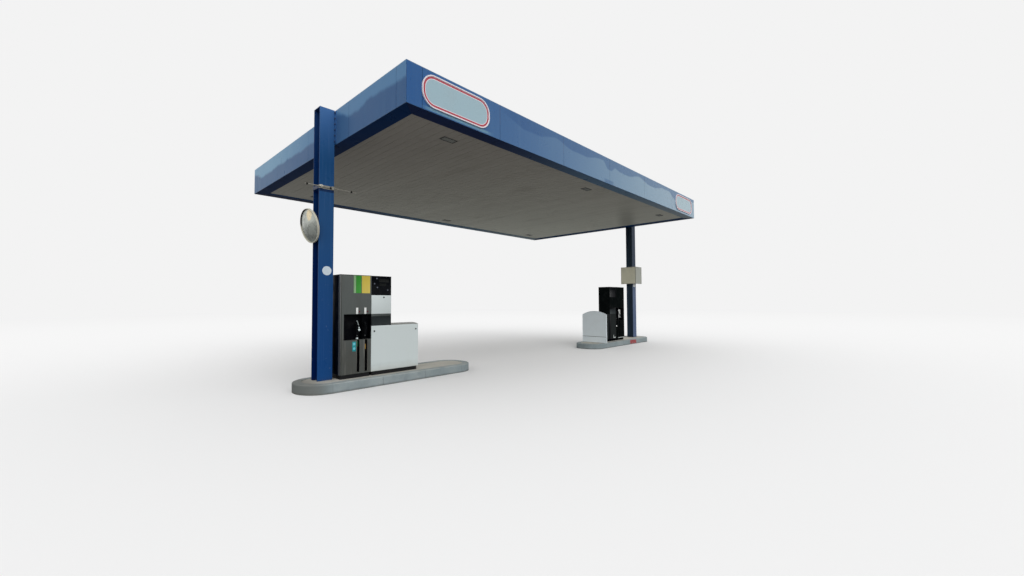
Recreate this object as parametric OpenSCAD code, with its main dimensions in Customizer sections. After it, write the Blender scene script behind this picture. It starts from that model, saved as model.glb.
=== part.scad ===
// Filling station canopy: a flat roof on two H section columns, over two pump islands.
// X runs along the long front, Y to the rear and Z up. The origin is the centre of the left
// column's foot, at ground level.

/* [Roof] */
// Length of the roof over its fascias
canopy_length = 11340; // [9800:10:14000]
// Width of the roof over its fascias, front to rear
canopy_width = 7120; // [6200:10:8400]
// From the line of the columns to the face of the front fascia
front_overhang = 2435; // [1900:5:2900]
// Height of the fascia's lower edge above the ground
fascia_bottom = 4350; // [3900:10:5000]
// Height of the fascia band
fascia_height = 625; // [600:5:760]
// Thickness of the fascia sheet
fascia_sheet = 2; // [1.5:0.5:4]
// Width of the underside that the fascia folds in to the ceiling
fascia_return = 260; // [220:5:360]
// Width of the fascia's folded top
fascia_top_fold = 80; // [60:5:110]
// Height of the lips that end both folds
fascia_lip = 30; // [15:1:35]
// Open joint between two fascia panels
fascia_joint = 6; // [3:1:12]
// Length of the folded corner pieces
fascia_corner = 270; // [150:5:400]
// Panels along the front and rear fascias
long_panels = 6; // [4:1:8]
// Panels along the two end fascias
end_panels = 4; // [3:1:5]

/* [Columns] */
// Depth of the H section, front face to rear face
column_depth = 250; // [200:10:300]
// Width of the H section's flanges
column_width = 260; // [200:10:300]
// Thickness of its web
column_web = 7.5; // [6:0.5:12]
// Thickness of its flanges
column_flange = 12.5; // [9:0.5:20]
// Radius where web and flange meet
column_root = 24; // [12:1:27]
// Side of the square foot plate
foot_plate = 380; // [370:5:400]
// Thickness of the foot plate
foot_thickness = 25; // [15:1:40]
// Distance between anchor holes, both ways
anchor_spacing = 290; // [285:5:320]
// Diameter of the anchor holes
anchor_hole = 24; // [18:1:26]
// Thickness of the plate that closes the column's top
cap_thickness = 10; // [6:1:16]
// Thickness of the plate on the column that the roof is bolted to
joint_plate = 12; // [8:1:20]
// How far that plate reaches past the flanges, front and rear
joint_plate_edge = 50; // [40:1:70]

/* [Roof frame] */
// Depth of the main beam between the columns
beam_depth = 400; // [360:10:420]
// Width of its flanges
beam_width = 180; // [140:10:220]
// Thickness of its web
beam_web = 8.6; // [6:0.2:12]
// Thickness of its flanges
beam_flange = 13.5; // [10:0.5:20]
// Radius where web and flange meet
beam_root = 21; // [10:1:30]
// Thickness of the beam's end plates
end_plate = 20; // [12:1:30]
// Depth of the tapered ribs at their outer ends, and of the edge channels
rib_tip_depth = 200; // [170:10:240]
// Width of the ribs' flanges
rib_width = 120; // [90:5:160]
// Thickness of the ribs' flanges
rib_flange = 10; // [6:1:14]
// Thickness of the ribs' webs
rib_web = 6; // [5:0.5:10]
// Width of the edge channels
edge_width = 60; // [45:1:80]
// Thickness of the edge channels
edge_wall = 6; // [4:0.5:9]
// Side of the angle posts that hold the fascia's top
post_side = 50; // [40:1:60]
// Thickness of those posts and of the rails on them
post_wall = 4; // [3:0.5:6]
// Height of the purlins
purlin_height = 80; // [60:1:90]
// Width of the purlins
purlin_width = 45; // [35:1:60]
// Thickness of the purlins
purlin_wall = 2; // [1.5:0.5:4]
// Purlins on the front slope
front_purlin_count = 3; // [2:1:4]
// Purlins on the rear slope
rear_purlin_count = 5; // [4:1:7]

/* [Roof covering] */
// Height of the deck's folds
deck_height = 38; // [25:1:40]
// Distance from fold to fold
deck_pitch = 250; // [200:10:330]
// Thickness of the deck sheet
deck_sheet = 1; // [0.7:0.1:2]
// Width of the gutters behind the front and rear fascias
gutter_width = 150; // [120:5:170]
// Height of a gutter's outer wall
gutter_height = 95; // [85:1:110]
// Thickness of the gutter sheet
gutter_sheet = 1.5; // [1:0.5:3]
// How far the deck reaches over the gutter
deck_overlap = 45; // [30:1:60]
// Width of each wing of the ridge cap
ridge_wing = 210; // [150:5:260]

/* [Ceiling] */
// How far the ceiling lies above the fascia's lower edge
ceiling_rise = 25; // [10:1:35]
// Width that one ceiling plank covers, about
plank_cover = 315; // [250:5:400]
// Width of the first plank, which is cut to fit
first_plank = 255; // [120:5:290]
// Height of a plank's edges
plank_height = 25; // [18:1:30]
// Thickness of the plank sheet
plank_sheet = 1; // [0.7:0.1:1.5]
// Open joint between two planks
plank_joint = 5; // [3:1:10]
// Depth of the groove along the middle of a plank
plank_groove = 5; // [3:0.5:8]
// Height of the rails that carry the planks
carrier_height = 30; // [25:1:35]
// Width of those rails
carrier_width = 50; // [40:1:60]
// Thickness of those rails
carrier_wall = 1.5; // [1:0.5:3]
// Rails that carry the planks
carrier_count = 8; // [7:1:9]
// Length of a ceiling light
light_length = 300; // [220:5:360]
// Width of a ceiling light
light_width = 160; // [120:5:200]
// Height of a light's body above the ceiling
light_height = 42; // [30:1:42]
// Width of the flange round a light
light_flange = 14; // [8:1:20]
// Distance of the lights from the front and rear fascias
light_inset = 700; // [600:10:800]
// Distance of the outer lights from the end fascias
light_end_inset = 1300; // [1000:10:1700]
// Lights in each of the two rows
light_columns = 3; // [2:1:4]

/* [Signs and fittings] */
// Length of the oval sign plates
sign_length = 1360; // [1000:10:1600]
// Height of the oval sign plates
sign_height = 500; // [420:10:560]
// Radius of their corners
sign_corner = 225; // [150:5:250]
// Thickness of the sign plates
sign_thickness = 22; // [12:1:40]
// Width of the raised rim round a sign plate
sign_rim = 16; // [12:1:40]
// Height of the sign plates above the fascia's lower edge
sign_base = 65; // [40:1:75]
// Distance of a sign plate from the end of the fascia
sign_inset = 260; // [150:10:600]
// Height of the steel band on the left column
band_level = 3550; // [3000:10:3900]
// Height of the band itself
band_height = 60; // [40:1:80]
// Length of the banner bar on the band
bar_length = 900; // [600:10:1200]
// Diameter of the banner bar
bar_diameter = 18; // [12:1:25]
// Diameter of the round traffic mirror
mirror_diameter = 600; // [450:10:700]
// Height of the mirror's centre
mirror_level = 2855; // [2500:5:3100]
// Distance of the mirror's centre from the column's centre
mirror_reach = 228; // [224:1:330]
// Radius of the mirror's curved face
mirror_curve = 900; // [700:10:2000]
// Angle that the mirror turns to the front
mirror_turn = 5; // [0:1:12]
// Angle that the mirror looks down
mirror_dip = 12; // [0:1:14]
// Width of the notice board's side towards the pumps
board_width = 600; // [450:10:650]
// Width of the notice board's side towards the front
board_front_width = 480; // [380:10:560]
// Height of the notice board
board_height = 640; // [500:10:760]
// Height of the notice board's lower edge
board_level = 2180; // [1900:10:2400]
// Thickness of the notice board
board_thickness = 22; // [15:1:30]

/* [Islands] */
// Width of the pump islands
island_width = 950; // [920:10:1200]
// Height of the islands' kerbs
kerb_height = 165; // [130:5:200]
// Width of the kerb stones
kerb_width = 140; // [110:5:150]
// Radius of the islands' corners
island_corner = 440; // [350:5:440]
// Radius of the kerb's upper edge
kerb_nose = 20; // [8:1:40]
// Joint between two kerb stones
kerb_joint = 8; // [5:1:15]
// Length of a straight kerb stone, about
kerb_stone = 1000; // [700:50:1200]
// Length of the left island
left_island_length = 3650; // [3300:10:4600]
// Length of the right island
right_island_length = 3910; // [3600:10:4800]
// How far an island reaches past its column's centre
island_reach = 478; // [470:2:600]
// How far the islands' middle lies in front of the columns
island_shift = 70; // [0:5:100]
// How far the slab inside the kerb lies below the stones
slab_drop = 6; // [0:1:15]

/* [Pumps] */
// Depth of a pump, front to rear
pump_depth = 430; // [380:5:520]
// Height of a pump's tower above its island
tower_height = 1850; // [1700:10:2000]
// Width of a pump's tower
tower_width = 585; // [540:5:660]
// Width of the display head beside the tower
head_width = 410; // [340:5:480]
// Length of the low cabinet, with the part under the head
cabinet_length = 1025; // [900:5:1200]
// Height of the low cabinet's front above the island
cabinet_height = 920; // [800:5:1000]
// Rise of its curved lid
lid_rise = 30; // [20:5:60]
// Height of the plinth under a pump
plinth_height = 75; // [50:1:100]
// How far the plinth stands back
plinth_inset = 25; // [10:1:40]
// Thickness of the pumps' sheet metal
pump_sheet = 2; // [1.5:0.5:4]
// Gap between the left column and its pump
left_pump_gap = 62; // [20:1:200]
// Gap between the right column and its pump
right_pump_gap = 1010; // [980:10:1500]
// Height of the dark band at the foot of the display head
head_band = 216; // [150:2:260]
// Height of the pale field over that band
head_panel = 360; // [280:5:400]
// Width of the plain post at the outer side of a tower
corner_post = 70; // [40:1:100]
// Depth of the recess for the nozzles
boot_depth = 120; // [110:1:150]
// Height of the nozzle panel's lower edge above the island
boot_level = 690; // [640:5:760]
// Height of the nozzle panel
boot_height = 450; // [400:5:500]
// Diameter of the hoses
hose_diameter = 28; // [20:1:32]
// Width of the slots that the hoses hang in
slot_width = 52; // [45:1:60]
// Distance of the first nozzle from the tower's outer side
first_nozzle = 335; // [300:5:350]
// Distance between the two nozzles
nozzle_pitch = 150; // [130:5:160]
// Width of the arched panel that closes the right pump's end
end_panel_width = 910; // [800:10:910]
// Height of that panel's sides above the kerb
end_panel_height = 915; // [800:5:1000]
// Rise of its arched top
end_panel_rise = 120; // [60:5:180]
// Thickness of the end panel
end_panel_thickness = 40; // [20:1:60]

/* [Hidden] */
$fn = 48;

// Small distances: past a face that a cut goes through, and between cast and set-in pieces
over = 1;
fit = 0.3;

// Levels, from the ground up
fascia_top = fascia_bottom + fascia_height;
ceiling_level = fascia_bottom + ceiling_rise;
rail_level = ceiling_level + plank_height;
frame_level = rail_level + carrier_height;
ridge_level = frame_level + beam_depth;
eaves_level = frame_level + rib_tip_depth;
island_level = kerb_height - slab_drop;

// Places across the length
left_face = column_width / 2 + joint_plate;
right_face = left_face + canopy_length;
right_column_x = right_face + left_face;
frame_left = left_face + fascia_sheet;
frame_right = right_face - fascia_sheet;
middle_x = (left_face + right_face) / 2;

// Places across the width
front_face = -front_overhang;
rear_face = front_face + canopy_width;
frame_front = front_face + fascia_sheet;
frame_rear = rear_face - fascia_sheet;

// Fascia and roof covering
mitre_gap = 1.5;
purlin_margin = 60;
deck_crest = 80;
deck_slant = 20;
deck_fold = [[(deck_pitch - deck_crest) / 2 - deck_slant, 0], [(deck_pitch - deck_crest) / 2, deck_height],
    [(deck_pitch + deck_crest) / 2, deck_height], [(deck_pitch + deck_crest) / 2 + deck_slant, 0]];
deck_left = left_face + fascia_top_fold + 10;
deck_right = right_face - fascia_top_fold - 10;
ridge_gap = 15;
gutter_clearance = 10;

// Gap between two edge channels at a corner of the roof
edge_gap = 3;

// Ceiling, inside the lips of the fascia's underside
ceiling_left = left_face + fascia_return + plank_joint;
ceiling_right = right_face - fascia_return - plank_joint;
ceiling_front = front_face + fascia_return + plank_joint;
ceiling_rear = rear_face - fascia_return - plank_joint;
rail_margin = 145;
narrow_plank = 60;
groove_foot = 8;
groove_top = 5;
whole_planks = floor((ceiling_right - ceiling_left - first_plank - narrow_plank) / plank_cover);
plank_edges = concat([ceiling_left],
    [for (i = [0 : whole_planks]) ceiling_left + first_plank + i * plank_cover],
    [ceiling_right + plank_joint]);

// Lights, each in the middle of a plank
light_play = 1;
light_rim = 3;
light_sheet = 2;
light_glass = 5;
first_light = round((light_end_inset - fascia_return - first_plank) / plank_cover - 0.5);
last_light = whole_planks - 1 - first_light;
light_planks = [for (i = [0 : light_columns - 1])
    round(first_light + i * (last_light - first_light) / (light_columns - 1))];
light_x = [for (i = light_planks)
    ceiling_left + first_plank + (i + 0.5) * plank_cover - plank_joint / 2];
light_y = [front_face + light_inset, rear_face - light_inset];

// Signs, banner bar, mirror and notice board
sign_recess = 8;
band_thickness = 6;
clamp_wall = 4;
clamp_width = 30;
bar_shift = 82;
bar_bracket = 100;
bar_clamps = [-0.93, -0.04, 0.81];
mirror_back = 40;
mirror_seat = 8;
mirror_lip = 12;
mirror_rim = 18;
mirror_glass = 3;
shell_flat = 0.4;
bracket_plate = 8;
bracket_side = 100;
bracket_tube = 40;
bracket_arm = mirror_reach - mirror_back - column_web / 2 - bracket_tube / 2;
batten = 30;
board_shift = 20;

// Pumps
boot_width = tower_width - corner_post - 2 * pump_sheet;
slot_depth = boot_depth + 10;
slot_foot = 100;
liner = 3;
nozzle_foot = 70;
grip_diameter = 36;
grip_length = 170;
nozzle_head = 50;
nozzle_top = 70;
spout_diameter = 24;
lever_width = 12;
hose_y = 45;
hose_foot = 130;
hose_bend = 28;
hose_rise = 330;
coupling = 40;
door_edge = 15;
door_sheet = 4;
door_split = 190;
lid_ledge = 12;
lock_inset = 60;
lock_drop = 100;
lock_diameter = 26;
lock_height = 9;
head_front = 20;
field_edge = 14;
field_depth = 10;
panel_border = 20;
panel_field = 3;
panel_seam = 5;
panel_seam_level = 190;

// Colours
BLUE = [0.09, 0.22, 0.46];
NAVY = [0.03, 0.07, 0.18];
OFF_WHITE = [0.80, 0.79, 0.75];
ZINC = [0.62, 0.64, 0.65];
PRIMER = [0.42, 0.30, 0.27];
CONCRETE = [0.62, 0.62, 0.58];
STEEL = [0.55, 0.56, 0.56];
BLACK = [0.06, 0.06, 0.07];
WHITE = [0.88, 0.89, 0.89];
GLASS = [0.75, 0.80, 0.80];
CREAM = [0.80, 0.77, 0.66];

// Outline of a rolled I or H section, with its web along Y
module rolled_section(depth, width, web, flange, root) {
    for (side = [-1, 1])
        translate([-width / 2, side * (depth - flange) / 2 - flange / 2])
            square([width, flange]);
    square([web, depth - flange], center = true);
    for (corner = [[1, -1, 0], [-1, -1, 90], [-1, 1, 180], [1, 1, 270]])
        translate([corner[0] * web / 2, corner[1] * (depth / 2 - flange)])
            rotate(corner[2]) root_fillet(root);
}

// The rounded inner corner between web and flange, in the first quarter
module root_fillet(root) {
    difference() {
        translate([-fit, -fit]) square(root + fit);
        translate([root, root]) circle(root);
    }
}

// Outline of a rectangle with round corners, its middle at the origin
module round_rectangle(length, width, corner) {
    square([length - 2 * corner, width], center = true);
    square([length, width - 2 * corner], center = true);
    for (sx = [-1, 1], sy = [-1, 1])
        translate([sx * (length / 2 - corner), sy * (width / 2 - corner)])
            circle(corner);
}

// A steel column with its foot plate, cap and the plate that the roof is bolted to.
// The roof lies on its +X side.
module column() {
    plate_width = column_depth + 2 * joint_plate_edge;
    color(BLUE) difference() {
        union() {
            translate([0, 0, foot_thickness - over])
                linear_extrude(fascia_top - cap_thickness - foot_thickness + 2 * over)
                    rolled_section(column_depth, column_width, column_web, column_flange, column_root);
            translate([-foot_plate / 2, -foot_plate / 2, 0])
                cube([foot_plate, foot_plate, foot_thickness]);
            translate([-column_width / 2, -column_depth / 2, fascia_top - cap_thickness])
                cube([column_width, column_depth, cap_thickness]);
            translate([column_width / 2, -plate_width / 2, joint_bottom])
                cube([joint_plate, plate_width, joint_top - joint_bottom]);
        }
        for (sx = [-1, 1], sy = [-1, 1])
            translate([sx * anchor_spacing / 2, sy * anchor_spacing / 2, -over])
                cylinder(d = anchor_hole, h = foot_thickness + 2 * over);
    }
}

// The bolted joint between column and roof stands clear of the fascia's folds
joint_margin = 12;
joint_bottom = fascia_bottom + fascia_sheet + joint_margin;
joint_top = fascia_top - joint_margin;

module left_column() column();

module right_column()
    translate([right_column_x, 0, 0]) mirror([1, 0, 0]) column();

// The beam from column to column
module main_beam() {
    plate_width = column_depth + 2 * joint_plate_edge;
    color(PRIMER) {
        translate([frame_left + end_plate - over, 0, frame_level + beam_depth / 2])
            rotate([90, 0, 90])
                linear_extrude(frame_right - frame_left - 2 * end_plate + 2 * over)
                    rolled_section(beam_depth, beam_width, beam_web, beam_flange, beam_root);
        for (x = [frame_left, frame_right - end_plate])
            translate([x, -plate_width / 2, joint_bottom])
                cube([end_plate, plate_width, joint_top - joint_bottom - fascia_sheet]);
    }
}

// Where the ribs' sloping tops begin, inside the gutters
front_eaves = frame_front + edge_width + gutter_width;
rear_eaves = frame_rear - edge_width - gutter_width;

// The roof's slopes start at the edges of the main beam's upper flange
front_run = -beam_width / 2 - front_eaves;
rear_run = rear_eaves - beam_width / 2;
roof_rise = ridge_level - eaves_level;
front_slope = atan(roof_rise / front_run);
rear_slope = atan(roof_rise / rear_run);
front_slope_length = front_run / cos(front_slope);
rear_slope_length = rear_run / cos(rear_slope);

// Outline in Y and Z of half a rib, from the beam's web to the edge channel
module rib_outline(run, tip) {
    polygon([
        [beam_web / 2, frame_level + beam_flange],
        [beam_width / 2, frame_level + beam_flange],
        [beam_width / 2, frame_level],
        [tip, frame_level],
        [tip, eaves_level],
        [beam_width / 2 + run, eaves_level],
        [beam_width / 2, ridge_level],
        [beam_width / 2, ridge_level - beam_flange],
        [beam_web / 2, ridge_level - beam_flange]
    ]);
}

// Outline of the flanges of half a rib
module rib_flange_outline(run, tip) {
    difference() {
        polygon([
            [beam_width / 2, frame_level],
            [tip, frame_level],
            [tip, eaves_level],
            [beam_width / 2 + run, eaves_level],
            [beam_width / 2, ridge_level]
        ]);
        polygon([
            [beam_width / 2 - over, frame_level + rib_flange],
            [tip + over, frame_level + rib_flange],
            [tip + over, eaves_level - rib_flange],
            [beam_width / 2 + run, eaves_level - rib_flange],
            [beam_width / 2, ridge_level - rib_flange],
            [beam_width / 2 - over, ridge_level - rib_flange]
        ]);
    }
}

module half_rib(run, tip) {
    rotate([90, 0, 90]) {
        translate([0, 0, -rib_web / 2]) linear_extrude(rib_web) rib_outline(run, tip);
        translate([0, 0, -rib_width / 2]) linear_extrude(rib_width) rib_flange_outline(run, tip);
    }
}

rib_pitch = canopy_length / long_panels;

// Pairs of tapered cantilever ribs, one at each joint of the long fascias
module ribs() {
    color(PRIMER) for (i = [1 : long_panels - 1])
        translate([left_face + i * rib_pitch, 0, 0]) {
            half_rib(rear_run, frame_rear - edge_width);
            mirror([0, 1, 0]) half_rib(front_run, -(frame_front + edge_width));
        }
}

// The four edges as straight runs, the ends in two parts beside the main beam's end plates.
// Each run has its start, its turn, whether it is mirrored, its length and its posts.
plate_half = column_depth / 2 + joint_plate_edge;
frame_length = frame_right - frame_left;
front_part = -plate_half - frame_front - edge_width - edge_gap;
rear_part = frame_rear - edge_width - plate_half - edge_gap;
last_front_post = front_part - post_side / 2 - gutter_width;
last_rear_post = rear_part - post_side / 2 - gutter_width;
long_posts = [for (i = [0 : long_panels])
    min(max(i * rib_pitch - fascia_sheet, post_side / 2), frame_length - post_side / 2)];
rear_posts = [for (i = [0 : 3]) post_side / 2 + i * (last_rear_post - post_side / 2) / 3];
edge_runs = [
    [[frame_left, frame_front, 0], 0, 0, frame_length, long_posts],
    [[frame_left, frame_rear, 0], 0, 1, frame_length, long_posts],
    [[frame_left, -plate_half, 0], -90, 0, front_part, [post_side / 2, last_front_post]],
    [[frame_left, plate_half, 0], 90, 1, rear_part, rear_posts],
    [[frame_right, -plate_half, 0], -90, 1, front_part, [post_side / 2, last_front_post]],
    [[frame_right, plate_half, 0], 90, 0, rear_part, rear_posts]
];
post_top = fascia_top - fascia_sheet - post_wall;

// Puts a piece that is drawn along X, with the roof on its +Y side, on one of the edges
module at_run(run) {
    translate(run[0]) rotate([0, 0, run[1]]) mirror([0, run[2], 0]) children();
}

// Channels that close the roof frame, open to the outside
module edge_channels() {
    color(PRIMER) for (run = edge_runs)
        at_run(run) translate([0, 0, frame_level]) rotate([90, 0, 90]) linear_extrude(run[3]) {
            square([edge_width, edge_wall]);
            translate([0, rib_tip_depth - edge_wall]) square([edge_width, edge_wall]);
            translate([edge_width - edge_wall, 0]) square([edge_wall, rib_tip_depth]);
        }
}

// Angle posts on the channels
module fascia_posts() {
    color(PRIMER) for (run = edge_runs, x = run[4])
        at_run(run) translate([x - post_side / 2, 0, eaves_level]) difference() {
            cube([post_side, post_side, post_top - eaves_level]);
            translate([post_wall, post_wall, -over]) cube([post_side, post_side, post_top]);
        }
}

// Angles on the posts, under the fascia's top fold
module fascia_rails() {
    color(PRIMER) for (run = edge_runs)
        at_run(run) translate([0, 0, post_top]) cube([run[3], post_side, post_wall]);
}

// A point on the rear slope: Y runs down the slope from the beam, Z stands square on it
module on_slope(slope) {
    translate([0, beam_width / 2, ridge_level]) rotate([-slope, 0, 0]) children();
}

// Purlins of C section, spread over one slope of the roof
module slope_purlins(count, slope, slope_length) {
    spread = slope_length - 2 * purlin_margin - purlin_width;
    on_slope(slope)
        for (i = [0 : count - 1])
            translate([frame_left + edge_width, purlin_margin + i * spread / (count - 1), 0])
                rotate([90, 0, 90]) linear_extrude(frame_length - 2 * edge_width) {
                    square([purlin_width, purlin_wall]);
                    translate([0, purlin_height - purlin_wall]) square([purlin_width, purlin_wall]);
                    square([purlin_wall, purlin_height]);
                }
}

module purlins() {
    color(ZINC) {
        slope_purlins(rear_purlin_count, rear_slope, rear_slope_length);
        mirror([0, 1, 0]) slope_purlins(front_purlin_count, front_slope, front_slope_length);
    }
}

// Folded deck sheet on one slope, from near the ridge to over the gutter
module deck(slope, slope_length) {
    folds = floor((deck_right - deck_left) / deck_pitch);
    side = (deck_right - deck_left - folds * deck_pitch) / 2;
    wave = [for (i = [0 : folds - 1], p = deck_fold) [side + i * deck_pitch + p[0], p[1]]];
    line = concat([[0, 0]], wave, [[deck_right - deck_left, 0]]);
    count = len(line);
    upper = [for (i = [count - 1 : -1 : 0]) [line[i][0], line[i][1] + deck_sheet]];
    color(ZINC) on_slope(slope)
        translate([deck_left, slope_length + deck_overlap, purlin_height])
            rotate([90, 0, 0])
                linear_extrude(slope_length + deck_overlap + beam_width / 2 - ridge_gap)
                    polygon(concat(line, upper));
}

module front_deck() mirror([0, 1, 0]) deck(front_slope, front_slope_length);

module rear_deck() deck(rear_slope, rear_slope_length);

// Bent sheet over the gap between the two decks
module ridge_cap() {
    color(ZINC) for (side = [0, 1])
        mirror([0, side, 0]) intersection() {
            on_slope(side == 1 ? front_slope : rear_slope)
                translate([deck_left, -beam_width, purlin_height + deck_height + deck_sheet])
                    cube([deck_right - deck_left, beam_width / 2 + ridge_wing, gutter_sheet]);
            translate([deck_left - over, 0, ridge_level])
                cube([canopy_length, canopy_width, beam_depth]);
        }
}

// A gutter from end to end, its outer wall at Y 0
module gutter() {
    length = frame_length - 2 * edge_width;
    inner_wall = purlin_height - gutter_clearance;
    color(ZINC) difference() {
        cube([length, gutter_width, gutter_height]);
        translate([gutter_sheet, gutter_sheet, gutter_sheet])
            cube([length - 2 * gutter_sheet, gutter_width - 2 * gutter_sheet, gutter_height]);
        translate([-over, gutter_width / 2, inner_wall])
            cube([length + 2 * over, gutter_width, gutter_height]);
    }
}

module front_gutter()
    translate([frame_left + edge_width, frame_front + edge_width, eaves_level]) gutter();

module rear_gutter()
    translate([frame_left + edge_width, frame_rear - edge_width, eaves_level])
        mirror([0, 1, 0]) gutter();

// Rails of C section, open below, that the planks hang from
module ceiling_rails() {
    first = ceiling_front + rail_margin;
    step = (ceiling_rear - rail_margin - carrier_width - first) / (carrier_count - 1);
    color(ZINC) for (i = [0 : carrier_count - 1])
        translate([ceiling_left, first + i * step, rail_level])
            rotate([90, 0, 90]) linear_extrude(ceiling_right - ceiling_left) {
                translate([0, carrier_height - carrier_wall]) square([carrier_width, carrier_wall]);
                square([carrier_wall, carrier_height]);
                translate([carrier_width - carrier_wall, 0]) square([carrier_wall, carrier_height]);
            }
}

// Outline of a ceiling plank: a shallow tray with one groove
module plank_outline(width) {
    middle = width / 2;
    polygon([
        [0, plank_height], [0, 0],
        [middle - groove_foot, 0], [middle - groove_top, plank_groove],
        [middle + groove_top, plank_groove], [middle + groove_foot, 0],
        [width, 0], [width, plank_height],
        [width - plank_sheet, plank_height], [width - plank_sheet, plank_sheet],
        [middle + groove_foot + plank_sheet / 2, plank_sheet],
        [middle + groove_top + plank_sheet / 2, plank_groove + plank_sheet],
        [middle - groove_top - plank_sheet / 2, plank_groove + plank_sheet],
        [middle - groove_foot - plank_sheet / 2, plank_sheet],
        [plank_sheet, plank_sheet], [plank_sheet, plank_height]
    ]);
}

// Ceiling of long planks that run from front to rear
module ceiling_planks() {
    body_length = light_length - 2 * light_flange + 2 * light_play;
    body_width = light_width - 2 * light_flange + 2 * light_play;
    color(OFF_WHITE) difference() {
        for (i = [0 : len(plank_edges) - 2])
            translate([plank_edges[i], ceiling_rear, ceiling_level])
                rotate([90, 0, 0]) linear_extrude(ceiling_rear - ceiling_front)
                    plank_outline(plank_edges[i + 1] - plank_edges[i] - plank_joint);
        for (x = light_x, y = light_y)
            translate([x - body_length / 2, y - body_width / 2, ceiling_level - over])
                cube([body_length, body_width, plank_height / 2]);
    }
}

// Housings of the ceiling lights, set in from below
module ceiling_lights() {
    body_length = light_length - 2 * light_flange;
    body_width = light_width - 2 * light_flange;
    color(STEEL) for (x = light_x, y = light_y)
        translate([x, y, ceiling_level]) difference() {
            union() {
                translate([-light_length / 2, -light_width / 2, -light_rim])
                    cube([light_length, light_width, light_rim]);
                translate([-body_length / 2, -body_width / 2, -light_rim])
                    cube([body_length, body_width, light_height + light_rim]);
            }
            translate([-body_length / 2 + light_sheet, -body_width / 2 + light_sheet, -light_rim - over])
                cube([body_length - 2 * light_sheet, body_width - 2 * light_sheet,
                    light_height + light_rim + over - light_sheet]);
        }
}

module light_glasses() {
    length = light_length - 2 * light_flange - 2 * light_sheet - 2 * fit;
    width = light_width - 2 * light_flange - 2 * light_sheet - 2 * fit;
    color(GLASS) for (x = light_x, y = light_y)
        translate([x - length / 2, y - width / 2, ceiling_level - light_rim])
            cube([length, width, light_glass]);
}

// Outline of the fascia's fold, with its outer face at 0 and the roof on its +X side
module fascia_outline() {
    square([fascia_sheet, fascia_height]);
    square([fascia_return, fascia_sheet]);
    translate([fascia_return - fascia_sheet, 0]) square([fascia_sheet, fascia_lip]);
    translate([0, fascia_height - fascia_sheet]) square([fascia_top_fold, fascia_sheet]);
    translate([fascia_top_fold - fascia_sheet, fascia_height - fascia_lip])
        square([fascia_sheet, fascia_lip]);
}

// One side of the fascia along X from 0, mitred at both ends, with short corner pieces
module fascia_run(length, panels) {
    pitch = length / panels;
    joints = concat([fascia_corner], [for (i = [1 : panels - 1]) i * pitch], [length - fascia_corner]);
    color(BLUE) difference() {
        intersection() {
            translate([0, 0, fascia_bottom]) rotate([90, 0, 90])
                linear_extrude(length) fascia_outline();
            translate([0, 0, fascia_bottom - over]) linear_extrude(fascia_height + 2 * over)
                polygon([
                    [mitre_gap, 0], [length - mitre_gap, 0],
                    [length - mitre_gap - fascia_return, fascia_return],
                    [mitre_gap + fascia_return, fascia_return]
                ]);
        }
        for (x = joints)
            translate([x - fascia_joint / 2, -over, fascia_bottom - over])
                cube([fascia_joint, fascia_return + 2 * over, fascia_height + 2 * over]);
    }
}

module front_fascia() translate([left_face, front_face, 0]) fascia_run(canopy_length, long_panels);

module rear_fascia()
    translate([left_face, rear_face, 0]) mirror([0, 1, 0]) fascia_run(canopy_length, long_panels);

module left_fascia()
    translate([left_face, front_face, 0]) mirror([1, -1, 0]) fascia_run(canopy_width, end_panels);

module right_fascia()
    translate([right_face, front_face, 0]) rotate([0, 0, 90]) fascia_run(canopy_width, end_panels);

// An oval plate with a raised rim, flat on the front fascia, its middle at X 0
module sign_plate() {
    color(WHITE)
        translate([0, front_face, fascia_bottom + sign_base + sign_height / 2])
            rotate([90, 0, 0]) difference() {
                linear_extrude(sign_thickness) round_rectangle(sign_length, sign_height, sign_corner);
                translate([0, 0, sign_thickness - sign_recess]) linear_extrude(sign_thickness)
                    round_rectangle(sign_length - 2 * sign_rim, sign_height - 2 * sign_rim,
                        sign_corner - sign_rim);
            }
}

module left_sign_plate() translate([left_face + sign_inset + sign_length / 2, 0, 0]) sign_plate();

module right_sign_plate() translate([right_face - sign_inset - sign_length / 2, 0, 0]) sign_plate();

// Outline of a kerb stone, with its outer face at 0
module kerb_outline() {
    square([kerb_width, kerb_height - kerb_nose]);
    translate([kerb_nose, 0]) square([kerb_width - kerb_nose, kerb_height]);
    translate([kerb_nose, kerb_height - kerb_nose]) circle(kerb_nose);
}

// Stones round an island whose lower left corner in plan is at the origin
module kerb(length) {
    run = length - 2 * island_corner;
    stones = round(run / kerb_stone);
    pitch = run / stones;
    end_run = island_width / 2 - island_corner - kerb_joint / 2;
    color(CONCRETE) for (far = [0, 1])
        translate([0, far * island_width, 0]) mirror([0, far, 0]) {
            for (i = [0 : stones - 1])
                translate([island_corner + i * pitch + kerb_joint / 2, 0, 0])
                    rotate([90, 0, 90]) linear_extrude(pitch - kerb_joint) kerb_outline();
            for (right = [0, 1])
                translate([right * length, 0, 0]) mirror([right, 0, 0]) {
                    translate([island_corner, island_corner, 0]) rotate([0, 0, 180])
                        rotate_extrude(angle = 90)
                            translate([island_corner, 0]) mirror([1, 0]) kerb_outline();
                    translate([0, island_corner + end_run, 0]) rotate([90, 0, 0])
                        linear_extrude(end_run) kerb_outline();
                }
        }
}

left_island_x = -island_reach;
right_island_x = right_column_x + island_reach - right_island_length;
island_y = -island_shift - island_width / 2;

module left_kerb() translate([left_island_x, island_y, 0]) kerb(left_island_length);

module right_kerb() translate([right_island_x, island_y, 0]) kerb(right_island_length);

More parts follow.
